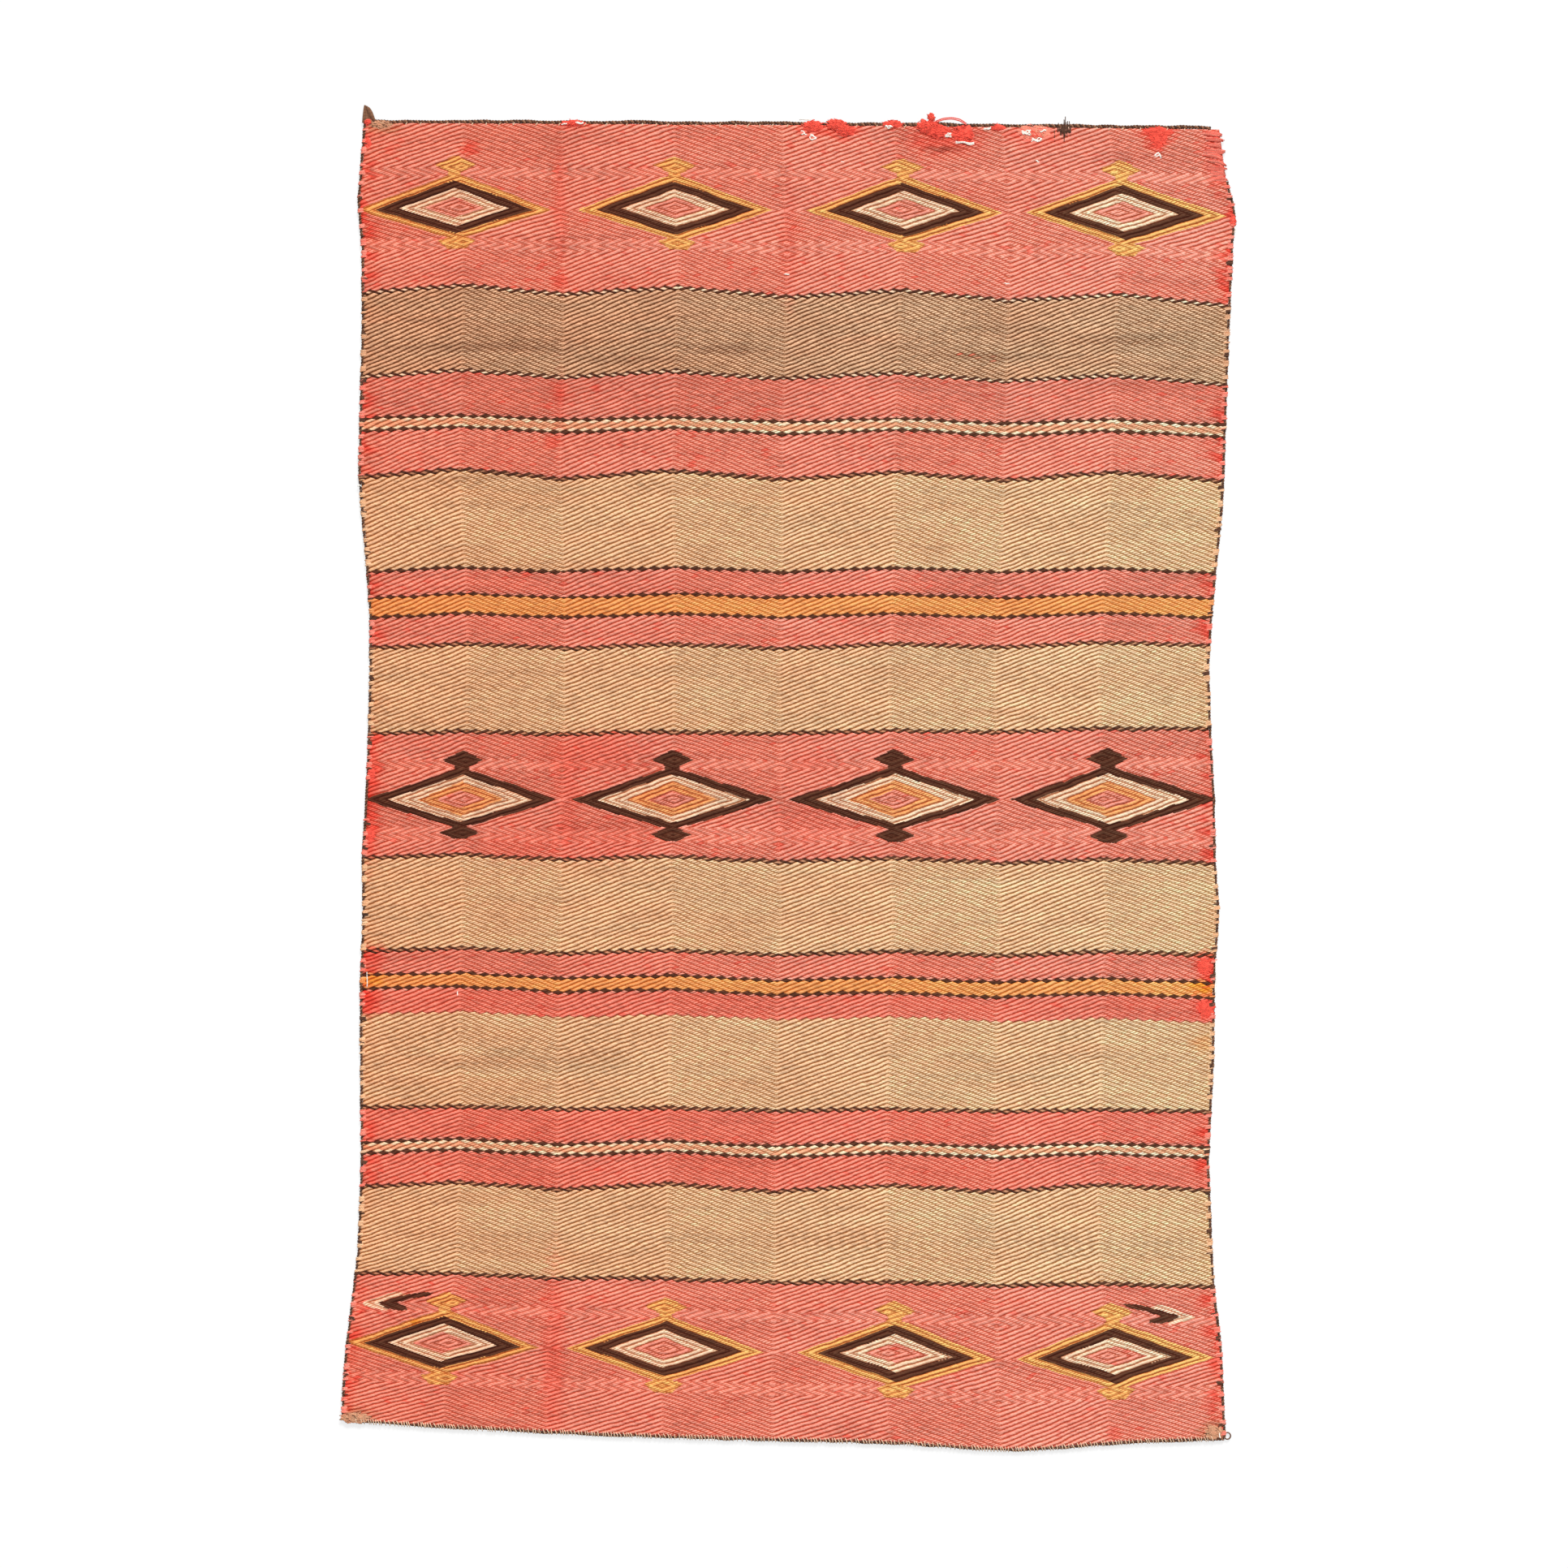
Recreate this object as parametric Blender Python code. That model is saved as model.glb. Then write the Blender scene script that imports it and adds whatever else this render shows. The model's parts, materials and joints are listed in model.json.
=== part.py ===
"""A hand-woven wool saddle blanket, a double one, lying flat.

It is woven weft-faced on a hidden warp, in bands and stripes of dyed yarn, with three rows of
diamonds woven in. Dark two-ply cords are bound along its four edges. In use it is folded
double across its middle, so the two halves turn on one line.

Lengths are in metres, +Z is up, and +Y points to the end that is at the top of the picture.
Rows are counted in picks of weft from that end. A share across runs from 0 at the left
edge of the cloth to 1 at its right edge.
"""
import math

import bmesh
import bpy

# Driving sizes
WIDTH = 0.900            # nominal width of the cloth between its edges
WEFT_PITCH = 0.001134    # height of one pick of weft, beaten down
SKIN = 0.0017            # weft that covers the warp on each face
WARP_THICKNESS = 0.0012  # one warp yarn
CORD_DIAMETER = 0.0044   # edge cords, two plies laid together
SEAM = 0.0003            # room between neighbouring yarns
SELVAGE_WALL = 0.0024    # weft that turns back at the side edges
RUN_GAP = 0.0022         # room between two runs of warp
TURN_WIDTH = 0.0030      # height of a warp turn at an end
WARP_MARGIN = 0.0150     # from the side edge to the first run of warp
CORD_BULGE = 0.0045      # how far the right cord bows out near its upper end
BOTTOM_SAG = 0.0080      # how far the lower end hangs out right of its middle
TAIL_LENGTH = 0.0165     # twisted cord ends at the upper left corner
TAIL_WIDTH = 0.0090
TAIL_TIP = 0.0016
CORD_STEP = 0.029        # spacing of the points along a cord
OVERRUN = 0.020          # how far a cutter reaches past what it cuts

# Counts
PANEL_WARPS = (33, 33, 38, 36, 38, 36, 36, 37)   # warps in each herringbone panel
WARPS_IN_RUN = 4                                 # one twill repeat is drawn as one flat run
FOLD_ROW = 620                                   # the pick on which the blanket folds
LINE = 3                                         # picks in a thin dark line

# Colours of the yarns, linear RGB
YARNS = {
    "red": (0.76, 0.17, 0.13),
    "tan": (0.72, 0.47, 0.25),
    "grey": (0.50, 0.30, 0.15),
    "brown": (0.048, 0.024, 0.016),
    "cream": (0.88, 0.68, 0.43),
    "orange": (0.86, 0.36, 0.07),
    "warp": (0.80, 0.76, 0.66),
}
YARN_ROUGHNESS = 0.92

# The woven bands from the upper end down: name, yarn, picks
BANDS = (
    ("end_band_upper", "red", 153),
    ("line_01", "brown", LINE),
    ("grey_band", "grey", 73),
    ("line_02", "brown", LINE),
    ("red_band_01", "red", 37),
    ("bead_line_01", "brown", LINE),
    ("cream_stripe_upper", "cream", 9),
    ("bead_line_02", "brown", LINE),
    ("red_band_02", "red", 37),
    ("line_03", "brown", LINE),
    ("tan_band_01", "tan", 84),
    ("bead_line_03", "brown", LINE),
    ("red_band_03", "red", 20),
    ("bead_line_04", "brown", LINE),
    ("orange_stripe_upper", "orange", 16),
    ("bead_line_05", "brown", LINE),
    ("red_band_04", "red", 25),
    ("line_04", "brown", LINE),
    ("tan_band_02", "tan", 76),
    ("line_05", "brown", LINE),
    ("middle_band_upper", "red", 60),
    ("middle_band_lower", "red", 54),
    ("line_06", "brown", LINE),
    ("tan_band_03", "tan", 83),
    ("line_07", "brown", LINE),
    ("red_band_05", "red", 20),
    ("bead_line_06", "brown", LINE),
    ("orange_stripe_lower", "orange", 11),
    ("bead_line_07", "brown", LINE),
    ("red_band_06", "red", 21),
    ("tan_band_04", "tan", 83),
    ("line_08", "brown", LINE),
    ("red_band_07", "red", 28),
    ("bead_line_08", "brown", LINE),
    ("cream_stripe_lower", "cream", 8),
    ("bead_line_09", "brown", LINE),
    ("red_band_08", "red", 27),
    ("line_09", "brown", LINE),
    ("tan_band_05", "tan", 83),
    ("line_10", "brown", LINE),
    ("end_band_lower", "red", 143),
)

# How a pick strays from straight, in picks: row, drop at the left edge, drop at the right
# edge, and drop where two panels meet in a valley
STRAY = (
    (0, -2, 4, 0), (77, -1, 5, 1), (154, -4, 8, 4), (231, -2, 5, 3), (270, -3, 3, 2),
    (322, -3, 1, 4), (409, 0, 1, 2), (451, 0, 0, 2), (479, -1, -3, 2), (558, 0, -4, 1),
    (FOLD_ROW, 0, 0, 0), (675, -4, 2, 2), (760, -4, 0, 2), (798, -6, 3, 2), (905, -3, 1, 1),
    (937, -4, 1, 2), (978, -4, -1, 3), (1063, -9, 4, 1), (1128, -10, 4, 1), (1208, -18, -1, 0),
)
SAG_PLACE_SHARE = 0.76
SAG_SPREAD_SHARE = 0.10
SAG_FIRST_ROW = 1063

# Side edges of the cloth: share of the length from the upper end, then the left and the
# right edge as shares of the width from the middle line
EDGE_SHARES = (
    (0.000, -0.490, 0.498), (0.059, -0.497, 0.510), (0.096, -0.492, 0.512),
    (0.152, -0.492, 0.508), (0.208, -0.494, 0.505), (0.263, -0.496, 0.502),
    (0.300, -0.492, 0.499), (0.337, -0.487, 0.493), (0.375, -0.483, 0.488),
    (0.412, -0.483, 0.484), (0.467, -0.485, 0.487), (0.513, -0.488, 0.491),
    (0.560, -0.492, 0.492), (0.597, -0.491, 0.496), (0.653, -0.494, 0.491),
    (0.708, -0.494, 0.490), (0.789, -0.493, 0.484), (0.857, -0.497, 0.488),
    (0.894, -0.504, 0.492), (0.931, -0.511, 0.499), (0.968, -0.515, 0.501),
    (1.000, -0.516, 0.504),
)
BULGE_SHARES = (0.040, 0.095)       # where the right cord leaves the edge and comes back

# Diamonds: half width and half height of the outline, and the rings in it as shares of them
END_DIAMOND_HALF_WIDTH = 0.0925
END_DIAMOND_HALF_HEIGHT = 0.0325
END_FINIAL_HALF_WIDTH = 0.0200
END_FINIAL_RISE = 0.0165
END_NECK = 0.0060
END_RING_SHARES = ((0.80, "brown"), (0.57, "cream"), (0.37, "red"))
END_ROWS = (78, 1128)
END_CENTRE_SHARES = (
    (0.1075, 0.3620, 0.6265, 0.8790),
    (0.1075, 0.3635, 0.6290, 0.8800),
)
MIDDLE_DIAMOND_HALF_HEIGHT = 0.0320
MIDDLE_NECK_HEIGHT = 0.0030
MIDDLE_FINIAL_HALF_WIDTH = 0.0245
MIDDLE_FINIAL_RISE = 0.0170
MIDDLE_FINIAL_FOOT = 0.0060
MIDDLE_NECK = 0.0075
MIDDLE_RING_SHARES = ((0.76, "cream"), (0.46, "orange"), (0.26, "red"))
MIDDLE_CENTRE_SHARES = (0.111, 0.3600, 0.6240, 0.8775)
MIDDLE_TIP_SHARES = (0.2355, 0.4900, 0.7530)

# Sizes that follow
WARPS = sum(PANEL_WARPS)
ROWS = sum(band[2] for band in BANDS)
LENGTH = ROWS * WEFT_PITCH
SLOT = WARP_THICKNESS + 2 * SEAM
THICKNESS = 2 * SKIN + SLOT
CORD_RADIUS = CORD_DIAMETER / 2
CORD_HEIGHT = THICKNESS / 2
CORD_OFFSET = SEAM + CORD_RADIUS
FOLD_HEIGHT = THICKNESS + SEAM
WEB = RUN_GAP - 2 * SEAM
RUNS = WARPS // WARPS_IN_RUN
TINY_SHARE = 1e-5
NECK_EASE_SHARE = 2.5    # the hole round a finial's neck and tip, as shares of the seam
TIP_EASE_SHARE = 3.0


def clear_scene():
    for obj in list(bpy.data.objects):
        bpy.data.objects.remove(obj)


def yarn_material(name):
    """One plain wool finish for each yarn."""
    material = bpy.data.materials.get(name) or bpy.data.materials.new(name)
    material.use_nodes = True
    shader = material.node_tree.nodes["Principled BSDF"]
    shader.inputs["Base Color"].default_value = (*YARNS[name], 1)
    shader.inputs["Roughness"].default_value = YARN_ROUGHNESS
    shader.inputs["Metallic"].default_value = 0
    material.diffuse_color = (*YARNS[name], 1)
    return material


def between(table, place):
    """Straight interpolation in a table whose rows start with their place."""
    place = min(max(place, table[0][0]), table[-1][0])
    for before, after in zip(table, table[1:]):
        if place <= after[0]:
            part = (place - before[0]) / (after[0] - before[0])
            return [a + (b - a) * part for a, b in zip(before[1:], after[1:])]
    return list(table[-1][1:])


def panel_stations():
    """Shares across at which the herringbone panels meet."""
    stations = [0]
    for count in PANEL_WARPS:
        stations.append(stations[-1] + count / WARPS)
    return stations


STATIONS = panel_stations()
VALLEYS = [(share, 1 - 2 * (index % 2)) for index, share in enumerate(STATIONS)]


def edges_at(y):
    """Left and right edge of the cloth at a height y below the upper end."""
    left, right = between(EDGE_SHARES, -y / LENGTH)
    return left * WIDTH, right * WIDTH


def weave_point(row, share):
    """The place of a pick at a share across the cloth."""
    left, right, valley = between(STRAY, row)
    side = 2 * share - 1
    stray = left * (side * side - side) / 2 + right * (side * side + side) / 2
    stray += valley * between(VALLEYS, share)[0]
    y = -(row + stray) * WEFT_PITCH
    hang = max(row - SAG_FIRST_ROW, 0) / (ROWS - SAG_FIRST_ROW)
    y -= BOTTOM_SAG * hang * math.exp(-((share - SAG_PLACE_SHARE) / SAG_SPREAD_SHARE) ** 2)
    x_left, x_right = edges_at(y)
    return x_left + (x_right - x_left) * share, y


FOLD_Y = weave_point(FOLD_ROW, 0.5)[1]


def new_object(name, mesh, parent, yarns):
    obj = bpy.data.objects.new(name, mesh)
    bpy.context.scene.collection.objects.link(obj)
    if yarns:
        for yarn in yarns:
            mesh.materials.append(yarn_material(yarn))
    if parent is not None:
        obj.parent = parent
        obj.location = -parent.location if parent.name == "fold_axis" else (0, 0, 0)
    return obj


def mesh_from_faces(name, verts, faces, slots=None):
    """A closed mesh whose faces are turned to point out."""
    mesh = bpy.data.meshes.new(name)
    bm = bmesh.new()
    made = [bm.verts.new(vert) for vert in verts]
    for index, face in enumerate(faces):
        new = bm.faces.new([made[i] for i in face])
        new.material_index = slots[index] if slots else 0
    bmesh.ops.recalc_face_normals(bm, faces=bm.faces)
    bm.to_mesh(mesh)
    bm.free()
    return mesh


def sleeve_mesh(name, rows):
    """A band of weft: a flat sleeve, open up and down, that the warp runs through.

    rows lists its picks from top to bottom, and half a seam is taken off at each end.
    """
    layers = []
    levels = ((0, 0), (SKIN, SELVAGE_WALL), (SKIN + SLOT, SELVAGE_WALL), (THICKNESS, 0))
    for level, inset in levels:
        grid = []
        for index, row in enumerate(rows):
            line = []
            for share in STATIONS:
                x, y = weave_point(row, share)
                if index == 0:
                    y -= SEAM / 2
                if index == len(rows) - 1:
                    y += SEAM / 2
                x += inset if share == STATIONS[0] else 0
                x -= inset if share == STATIONS[-1] else 0
                line.append((x, y, level))
            grid.append(line)
        layers.append(grid)
    count = len(STATIONS)
    depth = len(rows)
    verts = [point for grid in layers for line in grid for point in line]

    def at(layer, row, column):
        return (layer * depth + row) * count + column

    faces = []
    for layer in range(4):
        for row in range(depth - 1):
            for column in range(count - 1):
                faces.append((at(layer, row, column), at(layer, row, column + 1),
                              at(layer, row + 1, column + 1), at(layer, row + 1, column)))
    for column in (0, count - 1):
        for row in range(depth - 1):
            for low, high in ((0, 3), (1, 2)):
                faces.append((at(low, row, column), at(low, row + 1, column),
                              at(high, row + 1, column), at(high, row, column)))
    for row in (0, depth - 1):
        for low, high in ((0, 1), (2, 3)):
            for column in range(count - 1):
                faces.append((at(low, row, column), at(low, row, column + 1),
                              at(high, row, column + 1), at(high, row, column)))
        for column in (0, count - 1):
            faces.append((at(0, row, column), at(1, row, column),
                          at(2, row, column), at(3, row, column)))
    return mesh_from_faces(name, verts, faces)


def plate_mesh(name, regions, low, high):
    """A flat plate made of coloured regions that share their edges.

    Each region is a list of points and the number of its yarn.
    """
    keys = {}
    flat = []

    def number(point):
        key = tuple(round(value / (TINY_SHARE * WIDTH)) for value in point)
        if key not in keys:
            keys[key] = len(flat)
            flat.append(point)
        return keys[key]

    loops = [([number(point) for point in points], slot) for points, slot in regions]
    verts = [(x, y, low) for x, y in flat] + [(x, y, high) for x, y in flat]
    above = len(flat)
    faces = []
    slots = []
    used = {}
    for loop, slot in loops:
        faces.append(loop)
        faces.append([index + above for index in loop])
        slots += [slot, slot]
        for pair in zip(loop, loop[1:] + loop[:1]):
            used.setdefault(frozenset(pair), []).append((pair, slot))
    for found in used.values():
        if len(found) == 1:
            (first, second), slot = found[0]
            faces.append((first, second, second + above, first + above))
            slots.append(slot)
    return mesh_from_faces(name, verts, faces, slots)


def leave_webs(obj, rooms, x_low, x_high, y_low, y_high, upper):
    """Opens a plate for the warp, except for a web of weft in each of the given rooms."""
    sides = [(x_low, x_low)]
    for room in rooms:
        low, high = room_x(room, y_low, upper), room_x(room, y_high, upper)
        sides += [(low - WEB / 2, high - WEB / 2), (low + WEB / 2, high + WEB / 2)]
    sides.append((x_high, x_high))
    for number, (left, right) in enumerate(zip(sides[::2], sides[1::2])):
        loop = [(left[0], y_low), (right[0], y_low), (right[1], y_high), (left[1], y_high)]
        mesh = plate_mesh("room", [(loop, 0)], SKIN, SKIN + SLOT)
        cut(obj, f"{obj.name}_room_{number + 1}", mesh)


def cut(obj, name, mesh):
    """Takes a cutter's shape out of an object."""
    cutter = new_object(name, mesh, obj.parent, ())
    cutter.hide_render = True
    cutter.display_type = "WIRE"
    modifier = obj.modifiers.new(name, "BOOLEAN")
    modifier.operation = "DIFFERENCE"
    modifier.solver = "EXACT"
    modifier.object = cutter


def run_share(index):
    """Share across of the middle of a run of warp."""
    margin = WARP_MARGIN / WIDTH
    return margin + (1 - 2 * margin) * (index + 0.5) / RUNS


def run_x(index, y, upper):
    """Middle of a run of warp at a height: each run is straight within its half."""
    first, last = half_rows(upper)
    x_first, y_first = weave_point(first, run_share(index))
    x_last, y_last = weave_point(last, run_share(index))
    return x_first + (x_last - x_first) * (y - y_first) / (y_last - y_first)


def half_rows(upper):
    return (0, FOLD_ROW) if upper else (FOLD_ROW, ROWS)


def band_rows(name, first, picks):
    """The picks at which a band follows the side edge: its ends, and its middle if tall."""
    if name.startswith("end_band"):
        return (first, first + picks / 2, first + picks)
    return (first, first + picks)


def room_x(index, y, upper):
    """Middle of the room between a run of warp and the next one, at a height."""
    return (run_x(index, y, upper) + run_x(index + 1, y, upper)) / 2


def nearest_room(x, y, upper):
    """The nearest room between runs that no turn of the warp closes at the fold."""
    open_rooms = range(1 if upper else 0, RUNS - 1, 2)
    return min(open_rooms, key=lambda index: abs(room_x(index, y, upper) - x))


def serpentine_regions(upper):
    """The outline of the warp as quads: a run, a turn, a run and so on."""
    pitch = (WIDTH - 2 * WARP_MARGIN) / RUNS
    half_run = (pitch - RUN_GAP) / 2
    first, last = half_rows(upper)
    regions = []
    corners = []
    for index in range(RUNS):
        x_top, y_top = weave_point(first, run_share(index))
        x_foot, y_foot = weave_point(last, run_share(index))
        y_top -= 2 * SEAM
        y_foot += 2 * SEAM
        rows = ((x_top, y_top), (x_top, y_top - TURN_WIDTH),
                (x_foot, y_foot + TURN_WIDTH), (x_foot, y_foot))
        corners.append([((x - half_run, y), (x + half_run, y)) for x, y in rows])
    for index, rows in enumerate(corners):
        for above, below in zip(rows, rows[1:]):
            regions.append(([above[0], above[1], below[1], below[0]], 0))
        if index + 1 < RUNS:
            start = 0 if index % 2 else 2
            beside = corners[index + 1]
            regions.append(([rows[start][1], beside[start][0],
                             beside[start + 1][0], rows[start + 1][1]], 0))
    return regions


def end_diamond_outline(centre, half, grow):
    """Half outline of an end diamond with its finial, from the right tip to the left."""
    x, y = centre
    slope = math.atan2(END_DIAMOND_HALF_HEIGHT, END_DIAMOND_HALF_WIDTH)
    width = END_DIAMOND_HALF_WIDTH + grow / math.sin(slope)
    height = (END_DIAMOND_HALF_HEIGHT + grow / math.cos(slope)) * half
    neck = END_NECK + NECK_EASE_SHARE * grow
    foot = height * (1 - neck / width)
    wide = END_FINIAL_HALF_WIDTH + TIP_EASE_SHARE * grow
    middle = (END_DIAMOND_HALF_HEIGHT + END_FINIAL_RISE / 2) * half
    top = height + END_FINIAL_RISE * half
    right = [(width, 0), (neck, foot), (wide, middle), (0, top)]
    left = [(-dx, dy) for dx, dy in right[-2::-1]]
    return [(x + dx, y + dy) for dx, dy in right + left]


def ring_points(centre, half, width, height):
    x, y = centre
    return [(x + width, y), (x, y + height * half), (x - width, y)]


def diamond_regions(centre, half, outline, rings):
    """The coloured regions of a half diamond, ring inside ring on the middle line."""
    loops = [outline] + [ring_points(centre, half, *size) for size in rings]
    regions = []
    for slot, (outer, inner) in enumerate(zip(loops, loops[1:])):
        regions.append((outer + inner[::-1], slot))
    regions.append((loops[-1], len(loops) - 1))
    return regions


def end_diamond(name, centre, parent):
    """One diamond of an end band, with webs of weft between the runs of warp."""
    rings = [(share * END_DIAMOND_HALF_WIDTH, share * END_DIAMOND_HALF_HEIGHT)
             for share, _ in END_RING_SHARES]
    regions = []
    for half in (1, -1):
        outline = end_diamond_outline(centre, half, 0)
        regions += diamond_regions(centre, half, outline, rings)
    yarns = ["orange"] + [yarn for _, yarn in END_RING_SHARES]
    obj = new_object(name, plate_mesh(name, regions, 0, THICKNESS), parent, yarns)
    x, y = centre
    reach = END_DIAMOND_HALF_WIDTH + OVERRUN
    tall = END_DIAMOND_HALF_HEIGHT + END_FINIAL_RISE + OVERRUN
    upper = y > FOLD_Y
    rooms = [nearest_room(x, y, upper)]
    leave_webs(obj, rooms, x - reach, x + reach, y - tall, y + tall, upper)
    return obj


def end_band(name, rows, diamonds, parent, yarn):
    """An end band with its diamonds let in."""
    obj = new_object(name, sleeve_mesh(name, rows), parent, (yarn,))
    for number, centre in enumerate(diamonds):
        upper = end_diamond_outline(centre, 1, SEAM)
        lower = end_diamond_outline(centre, -1, SEAM)
        hole = [(upper + lower[-2:0:-1], 0)]
        mesh = plate_mesh("hole", hole, -OVERRUN, THICKNESS + OVERRUN)
        cut(obj, f"{name}_hole_{number + 1}", mesh)
    return obj


def chain_stations():
    """Tips and centres of the middle diamonds across the cloth, in metres."""
    left, right = edges_at(FOLD_Y)
    wide = right - left
    centres = [left + share * wide for share in MIDDLE_CENTRE_SHARES]
    tips = [left] + [left + share * wide for share in MIDDLE_TIP_SHARES] + [right]
    return centres, tips


def chain_outline(half, grow):
    """The outer line of the half diamonds of the middle band, tip to tip."""
    centres, tips = chain_stations()
    base = FOLD_Y + half * SEAM / 2
    neck_height = MIDDLE_NECK_HEIGHT + grow
    height = MIDDLE_DIAMOND_HALF_HEIGHT + grow
    points = [(tips[0], neck_height)]
    for centre, tip in zip(centres, tips[1:]):
        before = points[-1]
        neck = MIDDLE_NECK + NECK_EASE_SHARE * grow
        rise = (height - neck_height) * (1 - neck / (centre - before[0])) + neck_height
        fall = (height - neck_height) * (1 - neck / (tip - centre)) + neck_height
        wide = MIDDLE_FINIAL_HALF_WIDTH + TIP_EASE_SHARE * grow
        middle = MIDDLE_DIAMOND_HALF_HEIGHT + MIDDLE_FINIAL_FOOT
        points += [(centre - neck, rise), (centre - wide, middle),
                   (centre, height + MIDDLE_FINIAL_RISE),
                   (centre + wide, middle), (centre + neck, fall), (tip, neck_height)]
    return [(x, base + half * y) for x, y in points]


def middle_chain(name, half, parent):
    """Four half diamonds that meet at their tips, above or below the fold."""
    centres, tips = chain_stations()
    base = FOLD_Y + half * SEAM / 2
    outline = chain_outline(half, 0)
    foot = [(tips[-1], base)]
    regions = []
    for index in reversed(range(len(centres))):
        centre = centres[index]
        reach = min(centre - tips[index], tips[index + 1] - centre)
        loops = []
        for share, _ in MIDDLE_RING_SHARES:
            width = share * reach
            height = share * MIDDLE_DIAMOND_HALF_HEIGHT
            loops.append(ring_points((centre, base), half, width, height))
        foot += loops[0]
        for slot, (outer, inner) in enumerate(zip(loops, loops[1:])):
            regions.append((outer + inner[::-1], slot + 1))
        regions.append((loops[-1], len(loops)))
    foot.append((tips[0], base))
    regions.append((outline + foot, 0))
    yarns = ["brown"] + [yarn for _, yarn in MIDDLE_RING_SHARES]
    obj = new_object(name, plate_mesh(name, regions, 0, THICKNESS), parent, yarns)
    upper = half > 0
    beyond = FOLD_Y + half * (MIDDLE_DIAMOND_HALF_HEIGHT + MIDDLE_FINIAL_RISE + OVERRUN)
    low, high = sorted((FOLD_Y - half * OVERRUN, beyond))
    rooms = [nearest_room(centre, base, upper) for centre in centres]
    leave_webs(obj, rooms, tips[0] - OVERRUN, tips[-1] + OVERRUN, low, high, upper)
    return obj


def middle_band(name, rows, half, parent, yarn):
    """The red ground of the middle band on one side of the fold."""
    obj = new_object(name, sleeve_mesh(name, rows), parent, (yarn,))
    outline = chain_outline(half, SEAM)
    _, tips = chain_stations()
    below = FOLD_Y - half * OVERRUN
    left = tips[0] - OVERRUN
    right = tips[-1] + OVERRUN
    loop = [(left, outline[0][1])] + outline
    loop += [(right, outline[-1][1]), (right, below), (left, below)]
    mesh = plate_mesh("chain_hole", [(loop, 0)], -OVERRUN, THICKNESS + OVERRUN)
    cut(obj, f"{name}_hole", mesh)
    return obj


def smooth_route(points, step):
    """Points at even steps along a smooth curve through the given points."""
    dense = []
    padded = [points[0]] + points + [points[-1]]
    parts = 12
    for a, b, c, d in zip(padded, padded[1:], padded[2:], padded[3:]):
        for part in range(parts):
            t = part / parts
            dense.append(tuple(
                0.5 * (2 * q + (r - p) * t + (2 * p - 5 * q + 4 * r - s) * t * t
                       + (3 * q - p - 3 * r + s) * t ** 3)
                for p, q, r, s in zip(a, b, c, d)))
    dense.append(points[-1])
    total = sum(math.dist(a, b) for a, b in zip(dense, dense[1:]))
    count = max(round(total / step), 1)
    spacing = total / count
    route = [dense[0]]
    travelled = 0
    for a, b in zip(dense, dense[1:]):
        span = math.dist(a, b)
        while span and len(route) < count and travelled + span >= len(route) * spacing:
            part = (len(route) * spacing - travelled) / span
            route.append(tuple(p + (q - p) * part for p, q in zip(a, b)))
        travelled += span
    route.append(dense[-1])
    return route


def cord(name, points, parent):
    """An edge cord: a tube along its route."""
    curve = bpy.data.curves.new(name, "CURVE")
    curve.dimensions = "3D"
    curve.bevel_depth = CORD_RADIUS
    curve.bevel_resolution = 2
    curve.use_fill_caps = True
    spline = curve.splines.new("POLY")
    spline.points.add(len(points) - 1)
    for point, place in zip(spline.points, points):
        point.co = (*place, CORD_HEIGHT, 1)
    return new_object(name, curve, parent, ("brown",))


def side_points(share):
    """The corners of all the bands along one side edge, from the upper end down."""
    points = [weave_point(0, share)]
    row = 0
    for name, _, picks in BANDS:
        points += [weave_point(stop, share) for stop in band_rows(name, row, picks)[1:]]
        row += picks
    return points


def side_route(side, upper):
    """The route of a side cord along one half, just outside the edge of the cloth."""
    share = 0 if side < 0 else 1
    y_first, y_last = (weave_point(row, share)[1] for row in half_rows(upper))
    corners = [(x, y) for x, y in side_points(share) if y_last - SEAM < y < y_first + SEAM]
    corners[0] = (corners[0][0], y_first - (SEAM if upper else SEAM / 2))
    corners[-1] = (corners[-1][0], y_last + (SEAM / 2 if upper else SEAM))
    start, end = BULGE_SHARES
    route = []
    for before, after in zip(corners, corners[1:]):
        count = math.ceil(math.dist(before, after) / CORD_STEP)
        route += [tuple(a + (b - a) * part / count for a, b in zip(before, after))
                  for part in range(count)]
    route.append(corners[-1])
    points = []
    for x, y in route:
        part = (-y / LENGTH - start) / (end - start)
        bulge = CORD_BULGE * math.sin(math.pi * part) if side > 0 and 0 < part < 1 else 0
        points.append((x + side * CORD_OFFSET + bulge, y))
    return points


def end_route(row, side):
    """The route of an end cord, across the ends of the side cords."""
    shares = [index / (2 * len(PANEL_WARPS)) for index in range(2 * len(PANEL_WARPS) + 1)]
    points = []
    for share in shares:
        x, y = weave_point(row, share)
        points.append((x, y + side * CORD_OFFSET))
    points[0] = (points[0][0] - CORD_OFFSET - CORD_RADIUS, points[0][1])
    points[-1] = (points[-1][0] + CORD_OFFSET + CORD_RADIUS, points[-1][1])
    return smooth_route(points, CORD_STEP)


def corner_tail(name, parent):
    """The twisted ends of the cords, standing out past the upper left corner."""
    x, y = weave_point(0, 0)
    foot = y + 2 * CORD_OFFSET
    mesh = bpy.data.meshes.new(name)
    bm = bmesh.new()
    bmesh.ops.create_cone(bm, cap_ends=True, segments=10, radius1=TAIL_WIDTH / 2,
                          radius2=TAIL_TIP / 2, depth=TAIL_LENGTH)
    flat = CORD_DIAMETER / TAIL_WIDTH
    for vert in bm.verts:
        across, deep, along = vert.co
        vert.co = (x + across, foot + TAIL_LENGTH / 2 + along, CORD_HEIGHT - deep * flat)
    bm.normal_update()
    bm.to_mesh(mesh)
    bm.free()
    return new_object(name, mesh, parent, ("brown",))


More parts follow.
